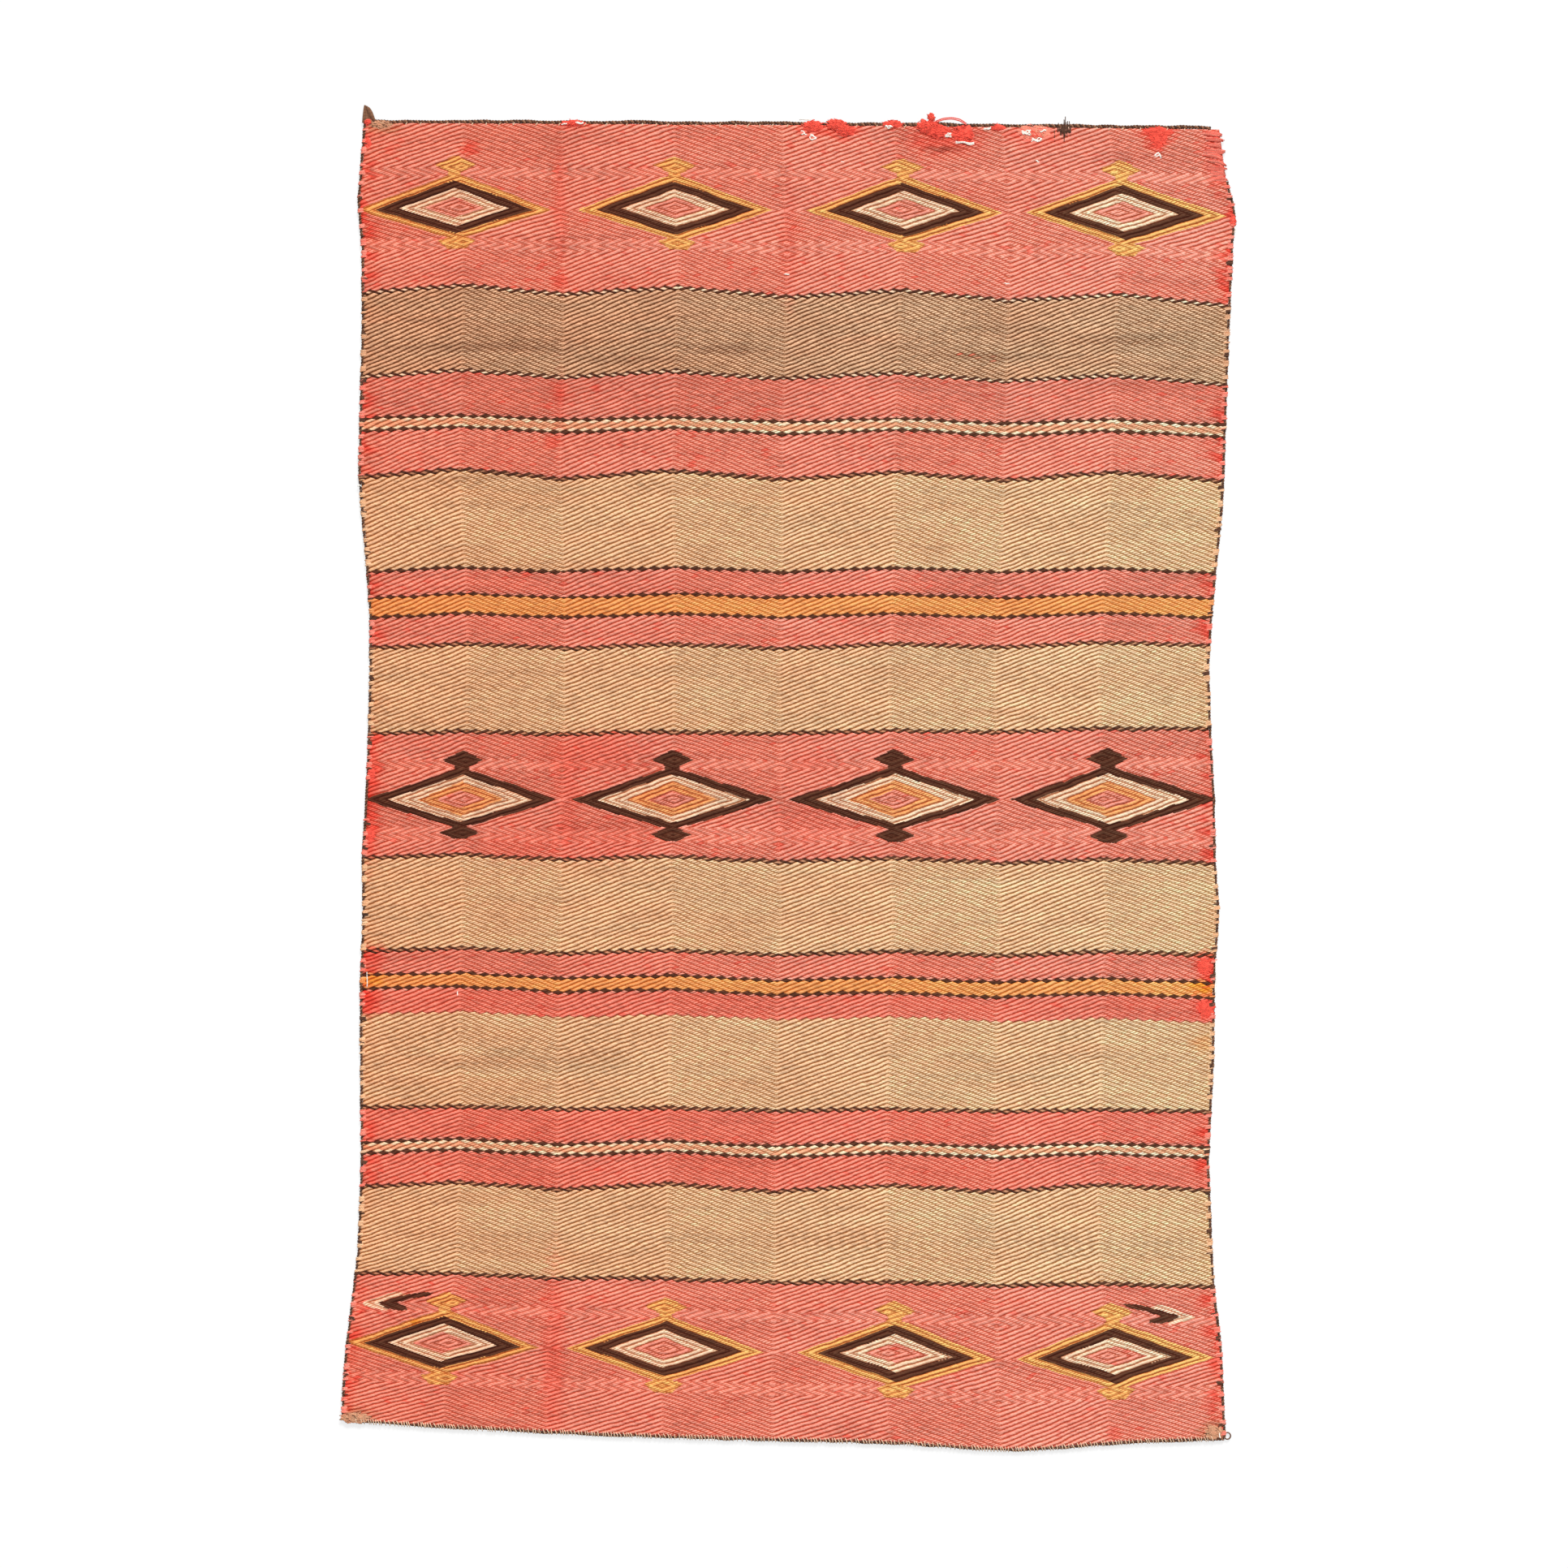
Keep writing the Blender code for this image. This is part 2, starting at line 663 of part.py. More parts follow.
def weave_bands(upper_half, lower_half):
    """Every band, stripe and line, from the upper end down."""
    row = 0
    for name, yarn, picks in BANDS:
        rows = band_rows(name, row, picks)
        parent = upper_half if rows[-1] <= FOLD_ROW else lower_half
        if name.startswith("end_band"):
            place = 0 if parent is upper_half else 1
            diamonds = [weave_point(END_ROWS[place], share) for share in END_CENTRE_SHARES[place]]
            end_band(name, rows, diamonds, parent, yarn)
            ending = name.rsplit("_", 1)[1]
            for number, centre in enumerate(diamonds):
                end_diamond(f"diamond_{ending}_{number + 1}", centre, parent)
        elif name.startswith("middle_band"):
            half = 1 if parent is upper_half else -1
            middle_band(name, rows, half, parent, yarn)
        else:
            new_object(name, sleeve_mesh(name, rows), parent, (yarn,))
        row += picks


def settle_on_origin(blanket):
    """Moves the whole blanket so that its box stands centred over the origin."""
    bpy.context.view_layer.update()
    graph = bpy.context.evaluated_depsgraph_get()
    corners = []
    for obj in bpy.data.objects:
        if obj.type != "EMPTY" and not obj.hide_render:
            seen = obj.evaluated_get(graph)
            mesh = seen.to_mesh()
            corners += [seen.matrix_world @ vert.co for vert in mesh.vertices]
            seen.to_mesh_clear()
    for axis in (0, 1):
        values = [corner[axis] for corner in corners]
        blanket.location[axis] = -(min(values) + max(values)) / 2
    bpy.context.view_layer.update()
    size = [max(c[i] for c in corners) - min(c[i] for c in corners) for i in range(3)]
    print("overall size", [round(value, 4) for value in size])
    print("origin moved by", [round(value, 5) for value in blanket.location])


def build():
    clear_scene()
    blanket = bpy.data.objects.new("blanket", None)
    bpy.context.scene.collection.objects.link(blanket)
    fold_axis = bpy.data.objects.new("fold_axis", None)
    bpy.context.scene.collection.objects.link(fold_axis)
    fold_axis.location = (0, FOLD_Y, FOLD_HEIGHT)
    fold_axis.parent = blanket
    weave_bands(fold_axis, blanket)
    middle_chain("middle_diamonds_upper", 1, fold_axis)
    middle_chain("middle_diamonds_lower", -1, blanket)
    for half, upper, parent in (("upper", True, fold_axis), ("lower", False, blanket)):
        mesh = plate_mesh(f"warp_{half}", serpentine_regions(upper),
                          SKIN + SEAM, SKIN + SEAM + WARP_THICKNESS)
        new_object(f"warp_{half}", mesh, parent, ("warp",))
        cord(f"side_cord_left_{half}", side_route(-1, upper), parent)
        cord(f"side_cord_right_{half}", side_route(1, upper), parent)
    cord("end_cord_upper", end_route(0, 1), fold_axis)
    cord("end_cord_lower", end_route(ROWS, -1), blanket)
    corner_tail("corner_tail", fold_axis)
    settle_on_origin(blanket)
    print("fold axis at", [round(value, 5) for value in fold_axis.matrix_world.translation])


build()
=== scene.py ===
# %% [markdown]
# # A hand-woven wool saddle blanket
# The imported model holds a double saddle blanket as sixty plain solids: bands of weft, inlaid diamonds, the
# warp that carries them and the cords round the edge. This lesson gives them their looks. Every piece is made
# in metres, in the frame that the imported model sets, so nothing has to be fitted afterwards.

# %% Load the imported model
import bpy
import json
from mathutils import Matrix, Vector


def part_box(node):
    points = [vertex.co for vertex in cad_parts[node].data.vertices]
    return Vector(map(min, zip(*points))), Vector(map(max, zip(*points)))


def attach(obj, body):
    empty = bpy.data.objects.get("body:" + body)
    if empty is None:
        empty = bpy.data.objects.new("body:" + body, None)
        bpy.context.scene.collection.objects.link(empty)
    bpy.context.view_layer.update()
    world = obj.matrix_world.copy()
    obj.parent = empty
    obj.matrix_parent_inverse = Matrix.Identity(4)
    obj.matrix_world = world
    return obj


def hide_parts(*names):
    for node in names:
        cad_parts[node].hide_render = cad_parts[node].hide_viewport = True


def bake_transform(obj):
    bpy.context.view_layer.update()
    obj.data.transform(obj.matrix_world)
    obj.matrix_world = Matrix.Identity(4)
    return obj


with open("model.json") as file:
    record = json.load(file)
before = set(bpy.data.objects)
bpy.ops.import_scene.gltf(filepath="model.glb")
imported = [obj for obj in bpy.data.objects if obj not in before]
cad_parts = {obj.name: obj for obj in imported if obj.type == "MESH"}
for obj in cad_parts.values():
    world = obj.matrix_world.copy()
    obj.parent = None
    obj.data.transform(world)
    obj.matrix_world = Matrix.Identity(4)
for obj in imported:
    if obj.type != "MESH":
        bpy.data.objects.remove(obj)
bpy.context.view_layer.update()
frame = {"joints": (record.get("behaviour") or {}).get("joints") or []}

# %% Libraries
import json
import math

import bpy
import numpy as np

scene = bpy.context.scene
print("Blender", bpy.app.version_string)

# %% Helpers for objects, nodes and colours
WHITE = (1, 1, 1, 1)


def add(name, data):
    """A new object in the scene."""
    made = bpy.data.objects.new(name, data)
    scene.collection.objects.link(made)
    return made


def node(tree, kind, *values, **named):
    """A new node. Values fill its inputs in order or, capitalised, by name. The other names are settings."""
    made = tree.nodes.new("ShaderNode" + kind)
    for key, value in named.items():
        if key.islower():
            setattr(made, key, value)
    filled = list(zip(made.inputs, values))
    for key, value in named.items():
        if not key.islower():
            filled.append((made.inputs[key.replace("_", " ")], value))
    for socket, value in filled:
        if isinstance(value, bpy.types.Node):
            value = value.outputs[0]
        if isinstance(value, bpy.types.NodeSocket):
            tree.links.new(value, socket)
        else:
            socket.default_value = value
    return made


def reckon(tree, operation, *terms):
    """A Math node on numbers, outputs or nodes."""
    return node(tree, "Math", *terms, operation=operation)


def seen_directly(tree):
    """1 for rays that look at a surface from the camera, a mirror or through glass."""
    rays = node(tree, "LightPath").outputs
    mirrored = reckon(tree, "MAXIMUM", rays["Is Glossy Ray"], rays["Is Transmission Ray"])
    return reckon(tree, "MAXIMUM", rays["Is Camera Ray"], mirrored)


def to_colour(red, green, blue):
    """The linear colour of three steps of a 0 to 255 colour chart."""
    shares = np.array((red, green, blue)) / 255
    return np.where(shares > 0.04045, ((shares + 0.055) / 1.055) ** 2.4, shares / 12.92)


print("white is", to_colour(255, 255, 255))

# %% [markdown]
# ## The camera
# The blanket was photographed lying flat, from straight above, with no sides showing. A short lens would show
# the inner faces of the edge cords, so a long lens hangs high over the cloth, almost free of perspective.

# %% Camera straight above the cloth
FRAME_SIDE = 1.6345
FRAME_CENTRE = (-0.005, -0.0065)
LENS_MM = 200
SENSOR_MM = 36
FAR_CLIP = 100

cloth_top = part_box("tan_band_03")[1].z
lens = bpy.data.cameras.new("camera")
lens.lens = LENS_MM
lens.sensor_width = SENSOR_MM
lens.clip_end = FAR_CLIP
camera = add("camera", lens)
camera.location = (*FRAME_CENTRE, cloth_top + FRAME_SIDE * LENS_MM / SENSOR_MM)
scene.camera = camera
print("camera hangs at", round(camera.location.z, 3), "m")

# %% [markdown]
# ## Light and floor
# Wool shows its weave only when light rakes over it, and its dyes only when the light is even. A broad soft
# sun from the far side does the first and a pale dome the second. The white round the blanket comes from the
# floor's own shader as the camera sees it, so the floor keeps a soft shadow with no more light on the wool.

# %% Dome and sun
FILL_LIGHT = 0.46
KEY_LIGHT = 0.66
KEY_ELEVATION = math.radians(40)
KEY_SIDE = math.radians(-12)
KEY_SOFTNESS = math.radians(22)

scene.view_settings.view_transform = "Standard"
world = bpy.data.worlds.new("studio")
world.use_nodes = True
scene.world = world
sky = world.node_tree
sky.nodes.clear()
fill, backdrop = (node(sky, "Background", WHITE, strength) for strength in (FILL_LIGHT, 1))
node(sky, "OutputWorld", node(sky, "MixShader", seen_directly(sky), fill, backdrop))

sun_data = bpy.data.lights.new("key", "SUN")
sun_data.energy = KEY_LIGHT * math.pi / math.sin(KEY_ELEVATION)
sun_data.angle = KEY_SOFTNESS
sun = add("key", sun_data)
sun.rotation_euler = (KEY_ELEVATION - math.pi / 2, 0, KEY_SIDE)
print("sun energy", round(sun_data.energy, 3))

# %% Floor
HALF_FLOOR = 30
FLOOR_DROP = 0.0004
FLOOR_SHADE = 0.25

floor_data = bpy.data.meshes.new("floor")
corner_signs = ((-1, -1), (1, -1), (1, 1), (-1, 1))
floor_corners = [(x * HALF_FLOOR, y * HALF_FLOOR, -FLOOR_DROP) for x, y in corner_signs]
floor_data.from_pydata(floor_corners, [], [(0, 1, 2, 3)])
floor = add("floor", floor_data)
floor_finish = bpy.data.materials.new("pale_floor")
floor_finish.use_nodes = True
tree = floor_finish.node_tree
tree.nodes.clear()
matt = node(tree, "BsdfDiffuse", (FLOOR_SHADE, FLOOR_SHADE, FLOOR_SHADE, 1))
glow = node(tree, "Emission", WHITE, reckon(tree, "MULTIPLY", seen_directly(tree), 1 - FLOOR_SHADE))
node(tree, "OutputMaterial", node(tree, "AddShader", matt, glow))
floor_data.materials.append(floor_finish)
print("floor of", 2 * HALF_FLOOR, "m")

# %% [markdown]
# ## The weaver's count
# A blanket is measured in threads: so many warps across, so many picks of weft down. Everything on it falls
# on that count, so the cloth is laid out in warps and picks, and one function turns a warp and a pick into a
# place. Handwork never lies on a ruled grid: the picks wander by a few threads, the valleys of the
# herringbone sink, and the sides draw in and spread. The function holds these too.

# %% Threads and their wander
WIDTH = 0.900
PICK = 0.001134
PANEL_WARPS = (33, 33, 38, 36, 38, 36, 36, 37)
WARPS = sum(PANEL_WARPS)
WARP_PITCH = WIDTH / WARPS
ROWS = 1208
LENGTH = ROWS * PICK
FOLD_ROW = 620

# pick, stray of the left edge, stray of the right edge, drop in the valleys, all in picks
STRAY = np.array((
    (0, -2, 4, 0), (77, -1, 5, 1), (154, -4, 8, 4), (231, -2, 5, 3), (270, -3, 3, 2), (322, -3, 1, 4),
    (409, 0, 1, 2), (451, 0, 0, 2), (479, -1, -3, 2), (558, 0, -4, 1), (620, 0, 0, 0), (675, -4, 2, 2),
    (760, -4, 0, 2), (798, -6, 3, 2), (905, -3, 1, 1), (937, -4, 1, 2), (978, -4, -1, 3),
    (1063, -9, 4, 1), (1128, -10, 4, 1), (1208, -18, -1, 0)))
# share of the length, left edge and right edge as shares of the width
EDGE_SHARES = np.array((
    (0, -.490, .498), (.059, -.497, .510), (.096, -.492, .512), (.152, -.492, .508), (.208, -.494, .505),
    (.263, -.496, .502), (.300, -.492, .499), (.337, -.487, .493), (.375, -.483, .488), (.412, -.483, .484),
    (.467, -.485, .487), (.513, -.488, .491), (.560, -.492, .492), (.597, -.491, .496), (.653, -.494, .491),
    (.708, -.494, .490), (.789, -.493, .484), (.857, -.497, .488), (.894, -.504, .492), (.931, -.511, .499),
    (.968, -.515, .501), (1, -.516, .504)))
SAG_PLACE_SHARE = 0.76
SAG_SPREAD_SHARE = 0.10
SAG_FIRST_ROW = 1063
BOTTOM_SAG = 0.0080
BULGE = 0.0040
BULGE_ROWS = (50, 106)
BULGE_REACH = 24

panel_stations = np.concatenate(([0], np.cumsum(PANEL_WARPS)))
valley_signs = 1 - 2 * (np.arange(len(panel_stations)) % 2)


def plain_place(u, v):
    """Where warp u and pick v lie, measured from the middle of the upper end."""
    share = u / WARPS
    side = 2 * share - 1
    picks, *strays = STRAY.T
    left, right, valley = (np.interp(v, picks, stray) for stray in strays)
    wander = left * (side * side - side) / 2 + right * (side * side + side) / 2
    wander = wander + valley * np.interp(u, panel_stations, valley_signs)
    y = -(v + wander) * PICK
    hang = np.maximum(v - SAG_FIRST_ROW, 0) / (ROWS - SAG_FIRST_ROW)
    y = y - BOTTOM_SAG * hang * np.exp(-((share - SAG_PLACE_SHARE) / SAG_SPREAD_SHARE) ** 2)
    down, *edges = EDGE_SHARES.T
    x_left, x_right = (np.interp(-y / LENGTH, down, edge) * WIDTH for edge in edges)
    swell = np.clip((v - BULGE_ROWS[0]) / (BULGE_ROWS[1] - BULGE_ROWS[0]), 0, 1)
    bulge = BULGE * np.sin(math.pi * swell) ** 2 * share ** BULGE_REACH
    return x_left + (x_right - x_left) * share + bulge, y


fold_axis = frame["joints"][0]["pos_m"]
upper_end_y = fold_axis[1] - float(plain_place(WARPS / 2, FOLD_ROW)[1])


def place(u, v):
    """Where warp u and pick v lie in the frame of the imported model."""
    x, y = plain_place(np.asarray(u, float), np.asarray(v, float))
    return x, y + upper_end_y


print(WARPS, "warps,", ROWS, "picks; the upper end lies at y =", round(upper_end_y, 4))

# %% [markdown]
# ## Soft unevenness
# Handspun yarn and hand-dyed wool vary from pick to pick and from place to place. A shader's noise could not
# move vertices and choose dyes as well, so the unevenness is made here once, as smooth random waves on the
# weaver's count. Each wave has its own seed and so is always the same.

# %% Random waves and draws
DRAWS = 65536


def drift(u, v, reach_u, reach_v, seed):
    """A smooth random wave from -1 to 1, whose swells are reach_u warps wide and reach_v picks tall."""
    rows_held = int(ROWS / reach_v) + 5
    columns_held = int(WARPS / reach_u) + 5
    table = np.random.default_rng(seed).uniform(-1, 1, (rows_held, columns_held))
    across = np.clip(u / reach_u + 1, 0, columns_held - 2)
    down = np.clip(v / reach_v + 1, 0, rows_held - 2)
    column = across.astype(int)
    row = down.astype(int)
    a, b = (part * part * (3 - 2 * part) for part in (across - column, down - row))
    upper = table[row, column] * (1 - a) + table[row, column + 1] * a
    lower = table[row + 1, column] * (1 - a) + table[row + 1, column + 1] * a
    return upper * (1 - b) + lower * b


def draw(number, seed):
    """One fixed random draw from -1 to 1 for each whole number."""
    table = np.random.default_rng(seed).uniform(-1, 1, DRAWS)
    return table[np.asarray(number).astype(np.int64) % DRAWS]


print("first draws", draw(np.arange(3), 1).round(3))

# %% [markdown]
# ## Herringbone
# The weave is a two-up, two-down twill: each pick passes over two warps and under two, and the next starts
# one warp further on. So the floats climb across the cloth as slanting ridges called wales. The weaver turned
# the slant round at seven warps, which makes eight panels, and at some picks through the diamonds. One phase
# counts along the warps and one along the picks, and both turn round where the slant does. Half their sum
# numbers the floats along a wale, and a quarter of their difference numbers the wales. Whole numbers are
# crowns and halves are gaps, so relief, dye and shading can all be read from the same two numbers.

# %% Phases of the twill
DIAMOND_ROWS = (78, 620, 1128)
END_TURNS = (-37, -29, 0, 29, 34, 39)
MIDDLE_TURNS = (-36, -28, 0, 27, 34, 40)
LONGEST_SHORT_ZONE = 10
ZONE_LEAN = 0.45
NUDGE = 0.01

turn_groups = zip(DIAMOND_ROWS, (END_TURNS, MIDDLE_TURNS, END_TURNS))
turn_rows = np.array([0, *(row + turn for row, group in turn_groups for turn in group), ROWS])
panel_leans = 2 * (np.arange(len(PANEL_WARPS)) % 2) - 1
row_leans = 1 - 2 * (np.arange(len(turn_rows) - 1) % 2)
warp_phases, pick_phases = (
    np.concatenate(([0], np.cumsum(leans * np.diff(stations)))) - 0.5
    for leans, stations in ((panel_leans, panel_stations), (row_leans, turn_rows)))
short_zones = [zone for zone in zip(turn_rows, turn_rows[1:]) if zone[1] - zone[0] < LONGEST_SHORT_ZONE]


def phases(u, v):
    """How far the weave has stepped along the warps and along the picks."""
    return np.interp(u, panel_stations, warp_phases), np.interp(v, turn_rows, pick_phases)


def lean_at(place_on, stations, leans):
    index = np.searchsorted(stations, place_on, side="right") - 1
    return leans[np.clip(index, 0, len(leans) - 1)]


def lean_of(u, v):
    """-1 for a plain wale, 1 for a broken one, less in a short zone and 0 right on a turn."""
    lean = sum(lean_at(u + step, panel_stations, panel_leans) for step in (-NUDGE, NUDGE)) / 2
    turn = sum(lean_at(v + step, turn_rows, row_leans) for step in (-NUDGE, NUDGE)) / 2
    in_zone = np.any([(v > low) & (v < high) for low, high in short_zones], axis=0)
    return lean * turn * np.where(in_zone, ZONE_LEAN, 1)


def float_of(u, v):
    """The float that covers a spot: its two numbers, and the warp and the pick of its middle."""
    warp_phase, pick_phase = phases(u, v)
    along = np.round((warp_phase + pick_phase) / 2)
    across = np.round((warp_phase - pick_phase) / 4)
    warp = u + (along + 2 * across - warp_phase) * lean_at(u, panel_stations, panel_leans)
    pick = v + (along - 2 * across - pick_phase) * lean_at(v, turn_rows, row_leans)
    return along, across, np.clip(warp, 0, WARPS), np.clip(np.floor(pick), 0, ROWS - 1)


def float_number(along, across):
    """One whole number for each float, for its random draws."""
    return (along * 7919 + across * 104729).astype(np.int64)


print("panels meet at warps", panel_stations.tolist())

# %% [markdown]
# ## Bands and dye pots
# The weaver changed yarn from band to band, and kept the halves alike but never equal. The list is the
# imported model's, from the upper end down: a name, its main yarn and its picks. Thin dark lines are three
# picks: dark, pale, dark. Beaded lines are two dark picks beside each other. The twill draws both into
# dashes and beads by itself. Each dye is written for the lit crown of a float, because the shade painted
# into the gaps and the shade of the relief darken it later.

# %% Bands from the upper end down
BANDS = (
    ("end_band_upper", "red", 153), ("line_01", "line", 3), ("grey_band", "grey", 73), ("line_02", "line", 3),
    ("red_band_01", "red", 37), ("bead_line_01", "bead", 3), ("cream_stripe_upper", "cream", 9),
    ("bead_line_02", "bead", 3), ("red_band_02", "red", 37), ("line_03", "line", 3),
    ("tan_band_01", "tan", 84), ("bead_line_03", "bead", 3), ("red_band_03", "red", 20),
    ("bead_line_04", "bead", 3), ("orange_stripe_upper", "orange", 16), ("bead_line_05", "bead", 3),
    ("red_band_04", "red", 25), ("line_04", "line", 3), ("tan_band_02", "tan", 76), ("line_05", "line", 3),
    ("middle_band_upper", "red", 60), ("middle_band_lower", "red", 54), ("line_06", "line", 3),
    ("tan_band_03", "tan", 83), ("line_07", "line", 3), ("red_band_05", "red", 20),
    ("bead_line_06", "bead", 3), ("orange_stripe_lower", "orange", 11), ("bead_line_07", "bead", 3),
    ("red_band_06", "red", 21), ("tan_band_04", "tan", 83), ("line_08", "line", 3),
    ("red_band_07", "red", 28), ("bead_line_08", "bead", 3), ("cream_stripe_lower", "cream", 8),
    ("bead_line_09", "bead", 3), ("red_band_08", "red", 27), ("line_09", "line", 3),
    ("tan_band_05", "tan", 83), ("line_10", "line", 3), ("end_band_lower", "red", 143))

band_names = [name for name, _, _ in BANDS]
band_picks = np.array([picks for _, _, picks in BANDS])
band_stops = np.cumsum(band_picks)
band_starts = band_stops - band_picks
band_of_pick = np.repeat(np.arange(len(BANDS)), band_picks)
print(len(BANDS), "bands,", int(band_stops[-1]), "picks")

# %% Dyes
DYE_CHART = {
    "red": (246, 159, 139), "tan": (245, 201, 160), "grey": (229, 181, 144), "brown": (94, 56, 38),
    "cream": (252, 217, 183), "orange": (251, 171, 107), "vivid": (250, 92, 74), "white": (253, 247, 236),
    "salmon": (244, 168, 130), "gold": (255, 186, 108), "bright_orange": (250, 160, 52),
    "dull": (196, 138, 104), "deep": (214, 62, 48)}
DYES = {name: to_colour(*steps) for name, steps in DYE_CHART.items()}
STRIPE_RIM_PICKS = 2
CREAM_LINES = ("line_01", "line_02")

pick_dyes = np.zeros((ROWS, 3))
for index, (name, yarn, _) in enumerate(BANDS):
    here = slice(band_starts[index], band_stops[index])
    if yarn == "line":
        order = ("brown", "cream" if name in CREAM_LINES else "dull", "brown")
        pick_dyes[here] = [DYES[part] for part in order]
    elif yarn == "bead":
        above, below = BANDS[index - 1][1], BANDS[index + 1][1]
        order = (above, "brown", "brown") if below in ("cream", "orange") else ("brown", "brown", below)
        pick_dyes[here] = [DYES[part] for part in order]
    else:
        pick_dyes[here] = DYES[yarn]
        if yarn == "cream":
            pick_dyes[here][STRIPE_RIM_PICKS:-STRIPE_RIM_PICKS] = DYES["salmon"]
print("dyes", sorted(DYES))

# %% [markdown]
# ## One cloth, cut into pieces afterwards
# Neighbouring bands of a weft-faced cloth hook into each other, float by float, and no straight line parts
# them. So the whole cloth is laid out once: a vertex at every crossing of a warp edge and a pick edge, one in
# the middle of each cell, and four-sided faces round the cell edges. Their sides run exactly along the gaps
# of the twill, so each face belongs to one float, and a piece is simply the faces whose floats it owns.

# %% Vertices and faces of the cloth
corner_v, corner_u = np.mgrid[0:ROWS + 1, 0:WARPS + 1]
cell_v, cell_u = np.mgrid[0:ROWS, 0:WARPS]
grid_u = np.concatenate((corner_u.ravel(), cell_u.ravel() + 0.5)).astype(float)
grid_v = np.concatenate((corner_v.ravel(), cell_v.ravel() + 0.5)).astype(float)


def corner(k, j):
    return j * (WARPS + 1) + k


def middle(k, j):
    return corner_u.size + j * WARPS + k


# a face round each upright cell edge: upper corner, left middle, lower corner, right middle
k, j = corner_u[:-1], corner_v[:-1]
upright = np.stack((corner(k, j), middle(k - 1, j), corner(k, j + 1), middle(k, j)), axis=-1)
j = j[:, 0]
upright[:, 0] = np.stack((corner(0, j), corner(0, j + 1), middle(0, j), j * 0 - 1), -1)
upright[:, -1, 3] = -1
# a face round each level cell edge: left corner, lower middle, right corner, upper middle
k, j = corner_u[:, :-1], corner_v[:, :-1]
level = np.stack((corner(k, j), middle(k, j), corner(k + 1, j), middle(k, j - 1)), axis=-1)
level[0, :, 3] = -1
k = k[-1]
level[-1] = np.stack((corner(k, ROWS), corner(k + 1, ROWS), middle(k, ROWS - 1), k * 0 - 1), -1)

faces = np.concatenate((upright.reshape(-1, 4), level.reshape(-1, 4)))
face_u = np.concatenate((corner_u[:-1].ravel(), corner_u[:, :-1].ravel() + 0.5))
face_v = np.concatenate((corner_v[:-1].ravel() + 0.5, corner_v[:, :-1].ravel()))
face_along, face_across, float_u, float_pick = float_of(
    np.clip(face_u, NUDGE, WARPS - NUDGE), np.clip(face_v, NUDGE, ROWS - NUDGE))
float_pick = float_pick.astype(int)
float_v = float_pick + 0.5
face_band = band_of_pick[float_pick]
face_number = float_number(face_along, face_across)
print(len(faces), "faces, of", len(np.unique(face_number)), "floats")

# %% [markdown]
# ## Diamonds
# Each diamond is woven by counting: on every pick the weaver changes yarn a warp earlier or later. A diamond
# is every float whose distance across, as a share of the half width, and distance down, as a share of the
# half height, add up to less than one. Rings repeat that with smaller sizes. The small fans above and below
# are widths that grow and shrink with the distance. All of them only choose who owns and who dyes a float.

# %% Diamonds of the ends and the middle
HOOKING = 0.12
END_CENTRE_SHARES = ((.1075, .3620, .6265, .8790), (.1075, .3635, .6290, .8800))
END_RINGS = (
    ("gold", 0.1015, 0.0362), ("brown", 0.0812, 0.0287), ("cream", 0.0568, 0.0202), ("red", 0.0320, 0.0112))
# distances from the middle of the diamond, and the half width at each of them
END_FANS = (((0.030, 0.0370, 0.0450, 0.0540), (0.0065, 0.0065, 0.0220, 0.0010)),
            ((0.030, 0.0325, 0.0360, 0.0455), (0.0065, 0.0080, 0.0200, 0.0090)))
MIDDLE_CENTRE_SHARES = (.1110, .3600, .6240, .8775)
MIDDLE_TIP_SHARES = ((-.005, .2238), (.2402, .4822), (.4965, .7510), (.7606, 1.005))
MIDDLE_RINGS = (
    ("brown", 1, 0.0332), ("cream", 0.75, 0.0260), ("orange", 0.45, 0.0190), ("red", 0.25, 0.0098))
MIDDLE_FANS = (((0.028, 0.0345, 0.0405, 0.0510), (0.0080, 0.0075, 0.0220, 0.0010)),
               ((0.028, 0.0315, 0.0380, 0.0450), (0.0080, 0.0070, 0.0215, 0.0065)))

piece_names = list(band_names)
face_piece = face_band.copy()
face_dye = pick_dyes[float_pick]
hooked_v = HOOKING * float_v + (1 - HOOKING) * face_v


def inlay(name, bands, share, row, fans, rings, tips=None):
    """Gives the floats of one diamond to the piece of that name and dyes them by their rings."""
    dx = (face_u - share * WARPS) * WARP_PITCH
    dy = (hooked_v - row) * PICK
    reach = 1 if tips is None else np.where(dx < 0, *(abs(tip - share) * WIDTH for tip in tips))
    ring = np.full(dx.shape, -1)
    for away, (distances, half_widths) in zip((-dy, dy), fans):
        ring[np.abs(dx) <= np.interp(away, distances, half_widths, left=-1, right=-1)] = 0
    for number, (_, half_width, half_height) in enumerate(rings):
        ring[np.abs(dx) / (half_width * reach) + np.abs(dy) / half_height <= 1] = number
    chosen = (ring >= 0) & np.isin(face_band, [band_names.index(band) for band in bands])
    if name not in piece_names:
        piece_names.append(name)
    face_piece[chosen] = piece_names.index(name)
    for number, (yarn, _, _) in enumerate(rings):
        face_dye[chosen & (ring == number)] = DYES[yarn]


for end, row, shares in zip(("upper", "lower"), DIAMOND_ROWS[::2], END_CENTRE_SHARES):
    for number, share in enumerate(shares):
        inlay(f"diamond_{end}_{number + 1}", ["end_band_" + end], share, row, END_FANS, END_RINGS)
for share, tips in zip(MIDDLE_CENTRE_SHARES, MIDDLE_TIP_SHARES):
    middle_bands = ("middle_band_upper", "middle_band_lower")
    inlay("middle_diamonds", middle_bands, share, FOLD_ROW, MIDDLE_FANS, MIDDLE_RINGS, tips)
print(len(piece_names) - len(band_names), "pieces of inlay")

